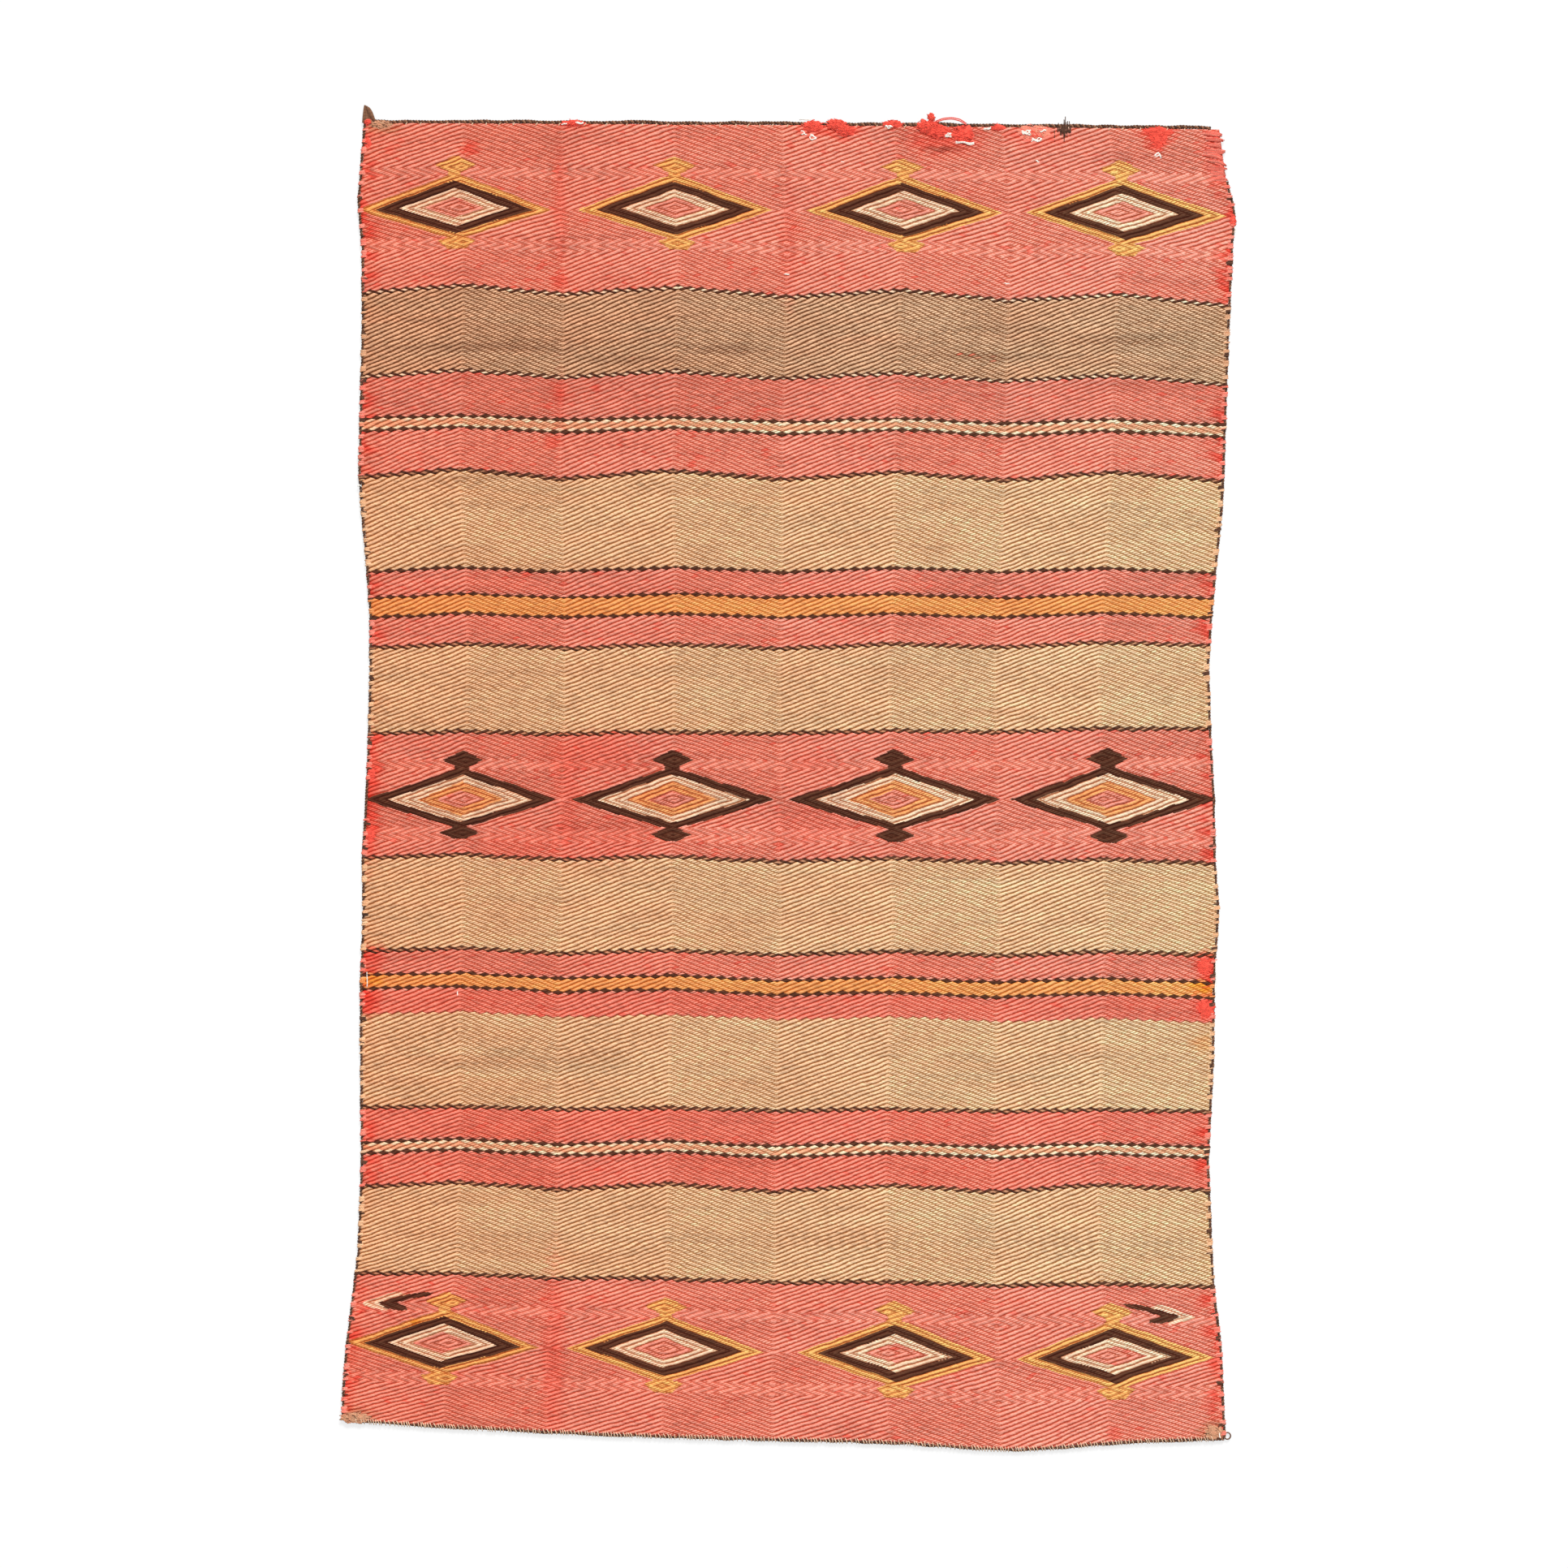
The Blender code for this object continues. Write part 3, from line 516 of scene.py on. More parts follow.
# %% Darts in the lower end band
DART_ROW = DIAMOND_ROWS[2] + END_TURNS[0]
DART_TIP_WARPS = (8, 275)
# outlines in warps inward and picks down from the tip
DARTS = {
    "cream": ((-4.8, 0), (-2.1, -3), (5.1, -10), (7.2, -10.4), (9.5, -7), (4, 2), (3.6, 7.5), (1, 6),
              (-4.3, 2.2)),
    "brown": ((0, 0), (4, -3.2), (8.6, -7), (14, -10), (18.2, -10), (17.6, -7), (10.5, -3.6), (6.5, -0.2),
              (10.6, 5.2), (10, 6.8), (7.2, 7.4), (3, 5))}


def enclosed(x, y, corners):
    """Whether each place lies inside a closed outline."""
    found = np.zeros(x.shape, bool)
    for (x_a, y_a), (x_b, y_b) in zip(corners, corners[1:] + corners[:1]):
        if y_a != y_b:
            crossing = x_a + (y - y_a) * (x_b - x_a) / (y_b - y_a)
            found ^= ((y_a > y) != (y_b > y)) & (x < crossing)
    return found


lower_end = face_piece == band_names.index("end_band_lower")
for tip, inward in zip(DART_TIP_WARPS, (1, -1)):
    for dye, corners in DARTS.items():
        face_dye[lower_end & enclosed((face_u - tip) * inward, hooked_v - DART_ROW, corners)] = DYES[dye]
print("two darts at pick", DART_ROW)

# %% [markdown]
# ## Signs of use
# Some spots of red were rubbed into bright felt, the selvages kept the colour that the sun took elsewhere,
# and each lot of yarn was dyed a little differently. Two brown spots are painted shadow below lumps of felt,
# and the floats of the broken panels get a painted sheen. These only choose dyes, so they are laid over the
# floats.

# %% Rubbed spots
PHOTO_PX = 0.000846
PHOTO_ZERO_X = 972
PHOTO_ZERO_Y = 154
SPOT_FADE = 1.6
SPOT_RAGGED = 0.35
DARKEST_DYED_OVER = 0.1

# by dye: middle in the photograph, half width, half height and strength
SPOTS_PX = {
    "vivid": (
        (579, 184, 9, 8, 0.8), (690, 345, 8, 10, 0.6), (690, 485, 8, 9, 0.6), (680, 545, 9, 6, 0.6),
        (481, 184, 6, 5, 0.6), (972, 300, 9, 60, 0.3), (690, 250, 7, 70, 0.35), (690, 500, 7, 40, 0.3),
        (682, 1670, 12, 95, 0.45), (1003, 158, 17, 9, 0.8), (1038, 159, 20, 11, 0.8),
        (1164, 170, 38, 18, 0.7), (706, 152, 18, 7, 0.5), (1276, 167, 30, 14, 0.5), (1427, 161, 20, 8, 0.9),
        (1427, 171, 14, 9, 0.9), (1426, 181, 7, 6, 0.8), (1500, 184, 18, 32, 0.35), (1375, 1765, 8, 7, 0.6),
        (1488, 1191, 14, 14, 0.8), (1486, 1240, 14, 14, 0.7), (1000, 938, 24, 10, 0.25),
        (700, 985, 16, 36, 0.35), (735, 930, 62, 24, 0.35), (740, 1035, 60, 22, 0.28),
        (640, 1040, 44, 22, 0.22), (1000, 1015, 52, 24, 0.25), (456, 985, 9, 60, 0.6),
        (460, 1178, 13, 11, 0.7), (455, 1233, 12, 15, 0.8)),
    "bright_orange": ((1484, 1216, 14, 6, 0.9), (513, 1631, 6, 5, 0.9), (458, 1206, 12, 7, 0.8)),
    "dull": ((470, 156, 17, 8, 0.8), (438, 1746, 20, 11, 0.8), (1496, 1764, 16, 13, 0.8)),
    "orange": ((1481, 1287, 12, 9, 0.6),),
    "brown": (
        # the first two brown spots are painted shadows below lumps of felt
        (1160, 184, 22, 3, 0.55), (1040, 168, 12, 2, 0.4), (890, 430, 42, 5, 0.30), (600, 428, 90, 5, 0.28),
        (770, 442, 60, 5, 0.25), (1230, 440, 100, 5, 0.25), (1400, 418, 60, 7, 0.2), (540, 395, 40, 4, 0.2),
        (620, 585, 50, 4, 0.15), (700, 420, 60, 3, 0.15), (1240, 405, 70, 4, 0.18), (560, 590, 60, 3, 0.18),
        (980, 600, 80, 3, 0.12))}


def on_photo(x_px, y_px):
    """The place in the frame that a pixel of the photograph shows."""
    return (x_px - PHOTO_ZERO_X) * PHOTO_PX, upper_end_y - (y_px - PHOTO_ZERO_Y) * PHOTO_PX


def away_from(x, y, x_px, y_px, half_x, half_y):
    """How far places lie from the middle of a spot: 1 is on its outline."""
    middle_x, middle_y = on_photo(x_px, y_px)
    return np.hypot((x - middle_x) / (half_x * PHOTO_PX), (y - middle_y) / (half_y * PHOTO_PX))


def overdye(share, dye):
    """Lays a share of another dye over every float."""
    return face_dye * (1 - share[:, None]) + DYES[dye] * share[:, None]


float_x, float_y = place(float_u, float_v)
can_take = face_dye.mean(axis=1) > DARKEST_DYED_OVER
for dye, spots in SPOTS_PX.items():
    for *spot, strength in spots:
        ragged = away_from(float_x, float_y, *spot) + SPOT_RAGGED * draw(face_number, 11)
        face_dye = overdye(strength * np.clip(SPOT_FADE - ragged, 0, 1) * can_take, dye)
print(sum(len(spots) for spots in SPOTS_PX.values()), "spots")

# %% Lots, streaks and selvages
# brightness of a band's lot and how much of its red kept the first colour
LOTS = {
    "red_band_01": (0.92, 0.03), "red_band_03": (0.95, 0.05), "red_band_04": (0.97, 0),
    "red_band_05": (0.97, 0.08), "red_band_06": (1, 0.28), "red_band_07": (1, 0.28),
    "red_band_08": (1, 0.25), "end_band_lower": (1, 0.06), "line_03": (0.9, 0), "line_10": (0.9, 0),
    "middle_band_upper": (0.97, 0.03), "middle_band_lower": (0.97, 0.05),
    "cream_stripe_upper": (1.08, 0), "cream_stripe_lower": (1.10, 0.03)}
FADED_BY_SUN = np.array((0.07, 0.28, 0.36))
# painted sheen of the broken panels, as shares added to red, green and blue
PAINTED_SHEEN_IF_BROKEN = np.array((0.06, 0.12, 0.16))
HUE_WAY = 0.045 * np.array((0.3, -1, -1.4))
LOT, STREAK, PATCH, SINGLE = 0.065, 0.10, 0.08, 0.13
SELVAGE_WARPS = 5
DEEPER_POWER = 1.55
DYE_LIMITS = (0.004, 0.98)

edge_warps = np.minimum(float_u, WARPS - float_u) / SELVAGE_WARPS
pick_lot = draw(float_pick, 21) * 0.5 + drift(float_u, float_v * 0, 70, 400, 22) * 0.2
streak = drift(float_u + 37 * draw(float_pick, 23), float_v, 45, 1.6, 24)
patch = drift(float_u, float_v, 16, 14, 25)
hue = drift(float_u, float_v, 24, 9, 26) + 0.5 * draw(float_pick, 27)
bright = 1 + LOT * pick_lot + STREAK * streak + PATCH * patch + SINGLE * draw(face_number, 28)
is_red = (face_dye[:, 0] > 0.6) & (face_dye[:, 1] < 0.36)
felted = np.clip(2.2 * drift(float_u, float_v, 3.5, 6, 30) + 0.5 * draw(float_pick, 33), 0, 1)
face_dye = overdye(0.75 * felted * np.clip(1.5 - edge_warps, 0, 1) * is_red, "vivid")
face_dye = overdye(np.clip(3 * drift(float_u, float_v, 1.6, 4, 34) - 1.9, 0, 1) * is_red * 0.7, "vivid")
for name, (brightness, unfaded) in LOTS.items():
    here = face_band == band_names.index(name)
    share = unfaded * is_red[here][:, None]
    face_dye[here] = brightness * (face_dye[here] * (1 - share) + DYES["vivid"] * share)
face_dye = face_dye * bright[:, None] * (1 + np.outer(float_u / WARPS - 0.5, FADED_BY_SUN))
# painted sheen: floats of the broken panels, all but red ones, are made paler as if they caught more light
leans_back = lean_at(float_u, panel_stations, panel_leans) * lean_at(float_v, turn_rows, row_leans) > 0
face_dye = face_dye * (1 + np.outer(leans_back & ~is_red, PAINTED_SHEEN_IF_BROKEN))
face_dye = face_dye * (1 + np.outer(hue, HUE_WAY))
strongest = face_dye.max(axis=1, keepdims=True)
deeper = (face_dye / strongest) ** DEEPER_POWER * strongest
deepening = np.clip(1 - edge_warps, 0, 1) * np.where(is_red, 0.85, 0.45)
deepening = (deepening * (0.6 + 0.4 * draw(float_pick // 3, 29)))[:, None]
face_dye = np.clip(face_dye * (1 - deepening) + deeper * deepening, *DYE_LIMITS)
print("mean dye", face_dye.mean(axis=0).round(3))

# %% Where felt stands
RED_FELT = ("vivid", "vivid", "vivid", "deep", "vivid")
FADED_FELT = ("vivid", "red", "vivid", "red", "salmon")
TAN_FELT = ("dull", "brown", "grey", "salmon", "dull")
# middle in the photograph, half width, half height, and how high it stands in metres
TUFTS_PX = (
    (1002, 156, 13, 7.5, 0.0024), (1031, 154, 12, 8, 0.0028), (1042, 161, 12, 8, 0.0024),
    (1143, 156, 14, 9, 0.0034), (1157, 163, 15, 9, 0.0030), (1186, 166, 13, 12, 0.0028),
    (1147.5, 144, 5, 5, 0.0036), (706, 152, 15, 4.5, 0.0020), (1274, 163, 22, 9, 0.0014),
    (1427, 162, 18, 6, 0.0016), (1427, 171, 12, 7, 0.0014), (1426, 179, 7, 5, 0.0010),
    (1100, 153, 12, 5, 0.0016), (1230, 157, 9, 4, 0.0018), (453, 150.5, 4.5, 4, 0.0022),
    (470, 153.5, 14, 5, 0.0014), (453, 176, 5, 6.5, 0.0009), (1484, 1191, 9, 11, 0.0009),
    (1486, 1243, 11, 12, 0.0009), (458, 954, 5, 8, 0.0009), (457, 1030, 6, 8, 0.0009),
    (438, 1747, 18, 7, 0.0008), (1496, 1765, 12, 9, 0.0008), (1519, 272, 4, 8, 0.0008))
OTHER_FELTS = {8: FADED_FELT, 15: TAN_FELT, 21: TAN_FELT, 22: TAN_FELT}
FRAYED_PX = (1502, 184, 24, 38)
print(len(TUFTS_PX), "tufts")

# %% [markdown]
# ## Relief
# A float is a low pillow: highest at its crown and drawn down at its ends by the warp that it dives under. In
# a panel that leans with the twist of the yarn the floats run together into a smooth ridge, and in a panel
# that leans against it each stays a grain of its own. A displacement texture could do this too, but then the
# mesh that leaves Blender would be flat, so the vertices move.

# %% Place and height of every vertex
CLOTH_THICKNESS = 0.0052
WALE_GAP_DEPTH = 0.00090
GRAIN_GAP_DEPTH = 0.00050
BROKEN_WALE_SHARE = 0.52
PLAIN_GRAIN_SHARE = 0.22
EDGE_ROUND = 0.0011
EDGE_ROUND_WARPS = 1.6
EDGE_ROUND_PICKS = 3.0
SWELL = 0.00010
RUBBED_DEPTH = 0.0007
THINNEST_SHARE = 0.38
UNDER_SHARE = 0.9
RUBBED_ROOM_SHARE = 0.25
WAVER = 0.00068

warp_phase, pick_phase = phases(grid_u, grid_v)
lean = lean_of(grid_u, grid_v)
along = (warp_phase + pick_phase) / 2
across = (warp_phase - pick_phase) / 4
from_crown = np.abs(along - np.round(along)) * 2
from_wale = np.abs(across - np.round(across)) * 2
broken = (1 + lean) / 2
wale_gap = WALE_GAP_DEPTH * (1 - broken * (1 - BROKEN_WALE_SHARE)) * from_wale ** 2
grain_gap = GRAIN_GAP_DEPTH * (PLAIN_GRAIN_SHARE + broken * (1 - PLAIN_GRAIN_SHARE)) * from_crown ** 2
to_side = np.minimum(grid_u, WARPS - grid_u) / EDGE_ROUND_WARPS
to_end = np.minimum(grid_v, ROWS - grid_v) / EDGE_ROUND_PICKS
rounding = EDGE_ROUND * (np.clip(1 - to_side, 0, 1) ** 2 + np.clip(1 - to_end, 0, 1) ** 2)
crown = (1 - from_wale) * (1 - from_crown)
number = float_number(np.round(along), np.round(across))
plump = SWELL * (drift(grid_u, grid_v, 6, 10, 31) + 0.9 * draw(number, 32) * crown)
grid_x, grid_y = place(grid_u, grid_v)
rubbed = np.zeros(grid_u.size)
for spot in [tuft[:4] for tuft in TUFTS_PX] + [FRAYED_PX]:
    rubbed = np.maximum(rubbed, np.clip(3.2 - 3 * away_from(grid_x, grid_y, *spot), 0, 1))
sink = wale_gap + grain_gap + rounding + np.maximum(SWELL - plump, 0)
under_sink = np.minimum(UNDER_SHARE * sink, THINNEST_SHARE * CLOTH_THICKNESS)
most_sink = (1 - 2 * THINNEST_SHARE + RUBBED_ROOM_SHARE) * CLOTH_THICKNESS
sink = np.minimum(sink + RUBBED_DEPTH * rubbed, most_sink)

inside = np.clip(to_side, 0, 1) * np.clip(to_end, 0, 1)
grid_y = grid_y + inside * WAVER * (
    drift(grid_u, grid_v, 7, 16, 41) + 0.75 * drift(grid_u, grid_v, 3, 5, 42))
grid_x = grid_x + inside * WAVER * (
    drift(grid_u, grid_v, 9, 12, 43) + 0.5 * drift(grid_u, grid_v, 4, 4, 44))
top_points = np.stack((grid_x, grid_y, CLOTH_THICKNESS + SWELL - sink), axis=1)
bottom_points = np.stack((grid_x, grid_y, under_sink), axis=1)
lay = np.stack((warp_phase, pick_phase, lean), axis=1)
print("the cloth spans", (top_points.max(axis=0) - top_points.min(axis=0)).round(4).tolist())

# %% [markdown]
# ## Cutting a piece
# A piece is closed: its floats on the upper face, the same floats on the lower face and a wall between them
# along its outline. An edge that only one of its faces has is on the outline. On the lower face the four
# triangles of a cell become one square wherever the piece owns all four, which saves a third of the mesh.
# The piece also gets a map of its own for baking: the long band is cut into a few runs, which are stacked
# until they fill a square, so that each pixel covers a third of a millimetre of wool.

# %% Outline and lower face
UPRIGHTS = upright.shape[0] * upright.shape[1]
cell_v, cell_u = cell_v.ravel(), cell_u.ravel()
left_face = cell_v * (WARPS + 1) + cell_u
upper_face = UPRIGHTS + cell_v * WARPS + cell_u
quarters = (left_face, upper_face + WARPS, left_face + 1, upper_face)


def outline(chosen):
    """The edges that only one of these faces has, each in the direction in which its face runs."""
    following = np.roll(chosen, -1, axis=1)
    following = np.where(following < 0, chosen[:, :1], following)
    starts, ends = chosen[chosen >= 0], following[chosen >= 0]
    key = np.minimum(starts, ends) * grid_u.size + np.maximum(starts, ends)
    _, first, count = np.unique(key, return_index=True, return_counts=True)
    single = first[count == 1]
    return starts[single], ends[single]


def lower_side(chosen, merge):
    """The lower face of a piece: its faces, and for each the upper face whose dye it takes."""
    held = [chosen[quarter] for quarter in quarters]
    whole = held[0] & held[1] & held[2] & held[3] & merge
    around = [corner(cell_u + right, cell_v + down) for right, down in ((0, 0), (0, 1), (1, 1), (1, 0))]
    centre = middle(cell_u, cell_v)
    found = [np.stack((around[0], around[3], around[2], around[1]), -1)[whole]]
    owners = [left_face[whole]]
    for quarter, has, start, end in zip(quarters, held, around, around[1:] + around[:1]):
        has = has & ~whole
        found.append(np.stack((start, centre, end, start * 0 - 1), -1)[has])
        owners.append(quarter[has])
    return np.concatenate(found), np.concatenate(owners)


print("cells of the cloth:", cell_u.size)

# %% Map for baking
RIM_COLUMNS = 340
RIM_STEP = 1 / 341
RIM_INSET = 0.2
RIM_SIDE = 0.6
MAP_MARGIN = 0.004
MOST_RUNS = 30


def best_runs(u_low, u_high, v_low, v_high):
    """How many runs to cut a band into, so that the stack of both its faces is about square."""
    tall = (v_high - v_low + 2) * PICK
    wide = (u_high - u_low) * WARP_PITCH
    return min(range(1, MOST_RUNS), key=lambda runs: max(wide / runs, 2 * runs * tall))


def baking_places(loops, of_u, side, span, floor_share):
    """Where each corner goes on the map. of_u is its face's middle, which decides its run."""
    u, v = grid_u[loops], grid_v[loops]
    u_low, u_high, v_low, v_high = span
    runs = best_runs(*span)
    step = (u_high - u_low) / runs
    run = np.clip(((of_u - u_low) / step).astype(int), 0, runs - 1)
    tall = v_high - v_low + 2
    across_share = (u - u_low - run * step + 0.75) / (step + 1.5)
    down_share = ((2 * run + side) * tall + (v - v_low) + 1) / (2 * runs * tall)
    room = 1 - 2 * MAP_MARGIN
    return np.column_stack((
        MAP_MARGIN + room * across_share, floor_share + MAP_MARGIN + (room - floor_share) * (1 - down_share)))


print("runs for a tan band:", best_runs(0, WARPS, 0, 84))

# %% Mesh from arrays
def flat(values):
    return np.ascontiguousarray(values, np.float32).ravel()


def show(name, points, loops, counts, smooth, lay_here, dyes, spots, finish):
    """An object from flat arrays, with its lay, its dyes and its map for baking."""
    mesh = bpy.data.meshes.new(name)
    mesh.vertices.add(len(points))
    mesh.loops.add(len(loops))
    mesh.polygons.add(len(counts))
    mesh.vertices.foreach_set("co", flat(points))
    mesh.loops.foreach_set("vertex_index", loops.astype(np.int32))
    mesh.polygons.foreach_set("loop_start", (np.cumsum(counts) - counts).astype(np.int32))
    mesh.polygons.foreach_set("use_smooth", smooth)
    mesh.update(calc_edges=True)
    mesh.attributes.new("lay", "FLOAT_VECTOR", "POINT").data.foreach_set("vector", flat(lay_here))
    opaque = np.column_stack((dyes, np.ones(len(dyes))))
    mesh.attributes.new("dye", "FLOAT_COLOR", "FACE").data.foreach_set("color", flat(opaque))
    mesh.uv_layers.new(name="OFBake").data.foreach_set("uv", flat(spots))
    mesh.materials.append(finish)
    return add(name, mesh)


print("mesh helper ready")

# %% Cut one piece
# painted shade on the walls of each piece
RIM_PAINTED_SHADE = 0.7


def cut_piece(name, chosen, merge, finish):
    """The closed piece of cloth that holds the chosen upper faces."""
    top = faces[chosen]
    owners = np.nonzero(chosen)[0]
    low, low_owners = lower_side(chosen, merge)
    rim_a, rim_b = outline(top)
    used_top = np.unique(top[top >= 0])
    used_low = np.unique(np.concatenate((low[low >= 0], rim_a)))
    top_number, low_number = np.full((2, grid_u.size), -1)
    top_number[used_top] = np.arange(used_top.size)
    low_number[used_low] = np.arange(used_low.size) + used_top.size
    rim = np.stack((top_number[rim_b], top_number[rim_a], low_number[rim_a], low_number[rim_b]), -1)
    top_counts, low_counts = ((block >= 0).sum(axis=1) for block in (top, low))
    top_loops, low_loops = (block[block >= 0] for block in (top, low))

    span = [reach for grid in (grid_u, grid_v) for reach in (grid[used_top].min(), grid[used_top].max())]
    floor_share = (math.ceil(len(rim) / RIM_COLUMNS) + 1) * RIM_STEP
    index = np.arange(len(rim))
    columns = (index % RIM_COLUMNS + RIM_INSET)[:, None] + np.array((0, RIM_SIDE, RIM_SIDE, 0))
    rows = (index // RIM_COLUMNS + RIM_INSET)[:, None] + np.array((0, 0, RIM_SIDE, RIM_SIDE))
    top_middles = np.repeat(face_u[owners], top_counts)
    low_middles = np.repeat(grid_u[low[:, 0]] + 0.5, low_counts)
    spots = (
        baking_places(top_loops, top_middles, 0, span, floor_share),
        baking_places(low_loops, low_middles, 1, span, floor_share),
        np.column_stack(((columns * RIM_STEP).ravel(), (rows * RIM_STEP).ravel())))

    counts = np.concatenate((top_counts, low_counts, np.full(len(rim), 4)))
    # painted shade: the walls of a piece take the mean dye of its floats, darkened as if in shade
    rim_painted_shade = np.full((len(rim), 3), face_dye[owners].mean(axis=0) * RIM_PAINTED_SHADE)
    return show(
        name, np.concatenate((top_points[used_top], bottom_points[used_low])),
        np.concatenate((top_number[top_loops], low_number[low_loops], rim.ravel())), counts,
        np.arange(len(counts)) < len(top) + len(low), lay[np.concatenate((used_top, used_low))],
        np.concatenate((face_dye[owners], face_dye[low_owners], rim_painted_shade)), np.concatenate(spots), finish)


print("pieces are cut with their map, dye and lay")

# %% [markdown]
# ## The wool
# Seen close, handspun weft is matt, with fine fibres that follow each float and dark gaps where one float
# dives under the next. The shader reads the two phases that the mesh carries and paints shade into the colour
# of the gaps, so its gaps lie exactly on the mesh's own gaps but can be much finer. A spun yarn shows the
# slanting grooves of its twist instead, with shade painted into them. The dye comes from the face, and sheen
# gives the pale bloom that wool has at a grazing angle.

# %% Start and end of a wool
def ramp(tree, value, low, high):
    """0 at low, 1 at high and a soft step between."""
    return node(tree, "MapRange", Value=value, From_Min=low, From_Max=high, interpolation_type="SMOOTHSTEP")


def start_wool(name):
    """A new material, its tree, the dye of a face and the three parts of the lay."""
    material = bpy.data.materials.new(name)
    material.use_nodes = True
    tree = material.node_tree
    dye = node(tree, "Attribute", attribute_name="dye")
    carried = node(tree, "Attribute", attribute_name="lay")
    return material, tree, dye, node(tree, "SeparateXYZ", carried.outputs["Vector"]).outputs


def end_wool(tree, colour, rough, bump, specular, sheen):
    """Fills the shader. Its bump is a height, a strength and a distance."""
    shader = tree.nodes["Principled BSDF"].inputs
    tree.links.new(colour.outputs[0], shader["Base Color"])
    tree.links.new(node(tree, "Bump", **bump).outputs[0], shader["Normal"])
    if isinstance(rough, bpy.types.Node):
        tree.links.new(rough.outputs[0], shader["Roughness"])
    else:
        shader["Roughness"].default_value = rough
    shader["Specular IOR Level"].default_value = specular
    shader["Sheen Weight"].default_value = sheen
    shader["Sheen Roughness"].default_value = 0.5


print("wool helpers ready")

# %% Finish of the woven wool
GAP_STOPS = (0.25, 0.5, 0.75, 1.0)
GAP_STRAY = 0.36
FIBRES_PER_FLOAT = (9, 2.2, 1)
# painted shade: what the deepest gap leaves of the red, green and blue of each dye, standing in for the
# shadow and the coloured bounce light down between the floats
PAINTED_GAP_SHADE = {
    "red_wool": (0.42, 0.105, 0.058), "tan_wool": (0.26, 0.12, 0.050), "grey_wool": (0.13, 0.06, 0.028),
    "brown_wool": (0.22, 0.11, 0.07), "cream_wool": (0.28, 0.14, 0.08), "orange_wool": (0.42, 0.18, 0.05),
    "diamond_wool": (0.32, 0.10, 0.050)}


def woven_wool(name, painted_gap_shade):
    """Weft-faced wool: dye on the floats, shade painted into the gaps, fibres along the yarn."""
    material, tree, dye, (warp_part, pick_part, lean_part, *_) = start_wool(name)

    def mixed(value, factor, offset):
        return reckon(tree, "MULTIPLY_ADD", value, factor, offset)

    def times(first, second):
        return reckon(tree, "MULTIPLY", first, second)

    along = times(reckon(tree, "ADD", warp_part, pick_part), 0.5)
    across = times(reckon(tree, "SUBTRACT", warp_part, pick_part), 0.25)
    broken = mixed(lean_part, 0.5, 0.5)
    spread = node(tree, "CombineXYZ", along, across, 0)
    wobble = node(tree, "TexNoise", Vector=spread, Scale=1.7, Detail=2)
    stray = mixed(wobble, GAP_STRAY, -GAP_STRAY / 2)
    from_crown, from_wale = (
        times(reckon(tree, "PINGPONG", reckon(tree, "ADD", phase, stray), 0.5), 2)
        for phase in (along, across))
    grain_gap = times(ramp(tree, from_crown, 0.42, 1.0), mixed(broken, 0.66, 0.12))
    wale_gap = times(ramp(tree, from_wale, mixed(broken, 0.10, 0.35), 0.97), mixed(broken, -0.17, 0.82))
    size_of_lean = reckon(tree, "ABSOLUTE", lean_part)
    calm = times(ramp(tree, size_of_lean, 0.2, 0.4), ramp(tree, size_of_lean, 0.9, 0.5))
    gap = reckon(tree, "MAXIMUM", grain_gap, times(wale_gap, mixed(calm, -0.4, 1.0)))

    fibre_place = node(tree, "VectorMath", spread, FIBRES_PER_FLOAT, operation="MULTIPLY")
    fibres = node(tree, "TexNoise", Vector=fibre_place, Scale=1, Detail=3, Roughness=0.6)
    tint = node(tree, "VectorMath", dye, Scale=mixed(fibres, 0.50, 0.75), operation="SCALE")
    # painted shade: towards the middle of a gap the ramp darkens the dye and deepens its hue
    painted_shade_ramp = node(tree, "ValToRGB", gap)
    stops = painted_shade_ramp.color_ramp.elements
    stops[0].color = WHITE
    for place_on_ramp in GAP_STOPS[:-1]:
        stops.new(place_on_ramp)
    for stop, depth in zip(list(stops)[1:], GAP_STOPS):
        stop.color = (*(share ** depth for share in painted_gap_shade), 1)
    shaded = node(tree, "VectorMath", tint, painted_shade_ramp, operation="MULTIPLY")
    bump = {"Height": reckon(tree, "SUBTRACT", times(fibres, 0.5), gap), "Strength": 0.7, "Distance": 0.0004}
    end_wool(tree, shaded, mixed(gap, 0.10, 0.86), bump, 0.15, 0.04)
    return material


wools = {name: woven_wool(name, painted_gap_shade) for name, painted_gap_shade in PAINTED_GAP_SHADE.items()}
print("wools", sorted(wools))

# %% Finish of a spun yarn
def spun_wool(name):
    """Round yarn: the twist shows as slanting grooves with shade painted into them, and fibres lie along
    them.
    """
    material, tree, dye, (twist, round_share, *_) = start_wool(name)
    turn = reckon(tree, "MULTIPLY", reckon(tree, "ADD", twist, round_share), 2)
    groove = ramp(tree, reckon(tree, "MULTIPLY", reckon(tree, "PINGPONG", turn, 0.5), 2), 0.55, 1.0)
    shape = node(tree, "TexCoord").outputs["Object"]
    fluff = node(tree, "TexNoise", Vector=shape, Scale=1400, Detail=2)
    shade = reckon(tree, "MULTIPLY_ADD", fluff, 0.6, 0.80)
    # painted shade: the colour is darkened in the grooves of the twist
    shade = reckon(tree, "SUBTRACT", shade, reckon(tree, "MULTIPLY", groove, 0.35))
    tint = node(tree, "VectorMath", dye, Scale=shade, operation="SCALE")
    height = reckon(tree, "SUBTRACT", reckon(tree, "MULTIPLY", fluff, 0.6), groove)
    end_wool(tree, tint, 0.88, {"Height": height, "Strength": 0.6, "Distance": 0.0003}, 0.2, 0.08)
    return material


